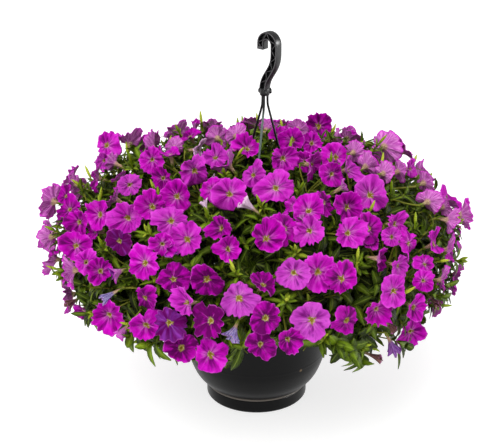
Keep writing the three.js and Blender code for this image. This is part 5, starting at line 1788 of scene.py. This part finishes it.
def hook_line():
    """The middle line in the hook's plane: a cubic curve up from the collar, a half circle, and the short
    tip."""
    back, radius, arch_height = HOOK["back"], HOOK["radius"], HOOK["arch_height"]
    middle = back - radius
    corners = [(0, COLLAR["top"] - HOOK["in_collar"], 0), (HOOK["lean"], COLLAR["top"] + HOOK["rise"], 0),
               (back, HOOK["back_height"] - HOOK["fall"], 0), (back, HOOK["back_height"], 0)]
    stem = cubic(np.array([corners], dtype=float), 30)[0][:, :2]
    angle = np.linspace(0, np.pi, 36)
    arch = np.stack([middle + radius * np.cos(angle), arch_height + radius * np.sin(angle)], 1)
    tip = np.array([[middle - radius, z] for z in np.linspace(arch_height, HOOK["tip_height"], 5)[1:]])
    return np.concatenate([stem, arch, tip])


def even_steps(line, pitch):
    """Points at even distances along a line, about a pitch apart."""
    length = np.concatenate([[0], np.cumsum(np.linalg.norm(np.diff(line, axis=0), axis=1))])
    wanted = np.linspace(0, length[-1], round(length[-1] / pitch) + 1)
    return np.stack([np.interp(wanted, length, line[:, 0]), np.interp(wanted, length, line[:, 1])], 1)


def to_the_left(line):
    """The unit vectors square to a line in the hook's plane, to its left."""
    ahead = unit(np.gradient(line, axis=0))
    return np.stack([-ahead[:, 1], ahead[:, 0]], 1)


line = even_steps(hook_line(), 1.6)
print("length of the hook's line in mm:", round(float(np.linalg.norm(np.diff(line, axis=0), axis=1).sum())))


# %% The hook
def bar(line, offset, thick, wide, columns=16, power=6):
    """A section swept along a line in the hook's plane: a superellipse, thick across the line and wide
    across the plane, its middle set off to the left by the offset. A low power gives a rounder section. Its
    mark is how near to the hook's edge each point lies."""
    left = to_the_left(line)
    turn = math.radians(HOOK["azimuth"])
    level, out = np.array([math.cos(turn), math.sin(turn), 0]), np.array([math.sin(turn), -math.cos(turn), 0])
    lift = lambda v: v[:, :1] * level + v[:, 1:] * np.array([0, 0, 1.0])
    angle = round_angles(columns)
    corner = superellipse(angle, power)
    middle = lift(line + left * offset) + HUB
    across_line = (thick / 2 * corner * np.cos(angle))[None, :, None] * lift(left)[:, None]
    aside = wide / 2 * corner * np.sin(angle)
    rings = (middle[:, None] + across_line + aside[None, :, None] * out)[None]
    return rings, np.zeros(3), on_grid(rings.shape[:3], np.abs(aside) / (HOOK["width"] / 2), 0, 0)


def hook_ribs():
    """Bars that run in a zigzag between the flanges, from one even step of the hook's line to the next."""
    nodes = even_steps(hook_line(), HOOK["pitch"])
    zigzag = nodes + to_the_left(nodes) * inner * np.where(np.arange(len(nodes)) % 2, 1, -1)[:, None]
    for start, end in zip(zigzag[1:], zigzag[2:]):
        yield bar(np.linspace(start, end, 3), 0, HOOK["rib"], HOOK["width"] - 0.5)


def boss(azimuth):
    """A round boss with an eased end, out of the collar where a strand is held."""
    end, radius = COLLAR["reach"], COLLAR["boss"]
    reach = np.array([0, 6, end - 0.9, end - 0.25, end])
    radii = np.array([radius, radius, radius, radius - 0.35, radius - 1.1])
    path = np.array([polar(r, azimuth, COLLAR["boss_height"]) for r in reach]) + HUB
    return tubes(path[None], radii[None], 24)


# The outer flange is rounded on its outer side by a second, rounder bar, which draws the long highlight.
ROUNDED = {"thick": 3.4, "inwards": 1.5, "narrower": 0.3, "columns": 24, "power": 2.6}
half = HOOK["thickness"] / 2
inner = half - HOOK["flange"]
surface = Surface()
for part in (
        bar(line, half - HOOK["flange"] / 2, HOOK["flange"], HOOK["width"]),
        bar(line, HOOK["flange"] / 2 - half, HOOK["flange"], HOOK["width"]),
        bar(line, ROUNDED["inwards"] - half, ROUNDED["thick"], HOOK["width"] - ROUNDED["narrower"],
            ROUNDED["columns"], ROUNDED["power"]),
        bar(line, 0, 2 * inner + 0.6, HOOK["web"]),
        bar(line[-4:], 0, HOOK["thickness"] - 0.2, HOOK["width"] - 0.2),
        *hook_ribs()):
    surface.add(*part)
collar_profile = [(2, COLLAR["bottom"]), (COLLAR["radius"], COLLAR["bottom"]),
                  (COLLAR["radius"], COLLAR["top"]), (2, COLLAR["top"])]
collar = turned(eased(collar_profile, 1.0), sides=48, centre=HUB)
add_plain(surface, collar, *[boss(azimuth) for azimuth in STRAND_AZIMUTHS])
finished(surface, "hook_and_collar", [hanger_material], "hanger", "hook")
print("triangles in the hook:", surface.triangle_count)

# %% [markdown]
# A strand is a taut plastic rod, straight from its lug to a bend below the collar. It is a tube along that
# line, with a flat head under the lug that keeps it from slipping out. The front one carries a painted
# sheen on its lower part.

# %% The three strands
# Where the curve starts below the bend, as a share of the straight part.
EASE = 0.04
# The strand whose lower part gets a painted sheen.
FRONT_STRAND = 2
for k, (foot, bend, shoulder, top) in enumerate(strand_lines):
    ease = bend + (foot - bend) * EASE
    path = np.concatenate([np.linspace(foot, ease, 40)[:-1], smooth_line([ease, bend, shoulder, top], 6)])
    rod = tubes(path[None], np.full((1, len(path)), STRAND["radius"]), 12)
    high = LUG["bottom"] - CLEARANCE
    low = high - STRAND["head_height"]
    head = [(1, low), (STRAND["head_radius"], low), (STRAND["head_radius"], high), (1, high)]
    head = turned(eased(head, 0.5), sides=24, centre=foot)
    material = sheen_strand_material if k == FRONT_STRAND else strand_material
    triangles = plain_piece(f"strand_{k + 1}_cord", material, "hanger", f"strand_{k + 1}", rod, head)
print("triangles in a strand:", triangles)

# %% [markdown]
# The photograph was taken in soft studio light on white, and the basket throws next to no shadow. A bright
# pale world fills the shadows, and a large soft light from the upper left front models the petals. The
# floor gives a little light of its own, so that its shadow stays faint. A second light, low on the right,
# lights nothing but shows in reflections, where it draws the sheen on the bowl and the hook.

# %% The floor
FLOOR_REACH = 30
floor_finish = Finish("floor", Roughness=0.9, Specular_IOR_Level=0.1, Emission_Color=(1, 1, 1, 1),
                      Emission_Strength=0.72)
floor_cloud = floor_finish.noise(floor_finish.place(), 2.0)
floor_colour = floor_finish.mix(floor_cloud, (0.5, 0.5, 0.5), (0.54, 0.54, 0.54))
floor_finish.feed(floor_finish.shader.inputs["Base Color"], floor_colour)
mesh = bpy.data.meshes.new("floor")
corners = [(x * FLOOR_REACH, y * FLOOR_REACH, 0) for x, y in ((-1, -1), (1, -1), (1, 1), (-1, 1))]
mesh.from_pydata(corners, [], [(0, 1, 2, 3)])
mesh.materials.append(floor_finish.material)
linked("floor", mesh)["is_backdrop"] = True
print("the floor reaches", FLOOR_REACH, "m each way")

# %% The light
world = bpy.data.worlds.new("studio")
bpy.context.scene.world = world
world.use_nodes = True
background = world.node_tree.nodes["Background"]
background.inputs["Color"].default_value = (1.0, 1.0, 1.0, 1)
background.inputs["Strength"].default_value = 0.62
bpy.context.scene.view_settings.view_transform = "Standard"


def soft_sun(name, azimuth, height, strength, disc):
    """A far light whose disc is so wide that its shadows are soft. Its angles are in degrees."""
    light = bpy.data.lights.new(name, "SUN")
    light.energy = strength
    light.angle = math.radians(disc)
    lamp = linked(name, light)
    lamp.rotation_euler = (math.radians(90 - height), 0, math.radians(azimuth + 90))
    return lamp


soft_sun("key", -112, 56, 2.5, 45)
sheen = soft_sun("sheen", -6, 4, 6.0, 30)
sheen.visible_diffuse = False
print("lights:", len(bpy.data.lights))

# %% Sizes of the imported model and of the scene
plain = lambda bounds: [[float(value) for value in corner] for corner in bounds]
{"cad": plain(cad_bounds), "visual": plain(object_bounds())}
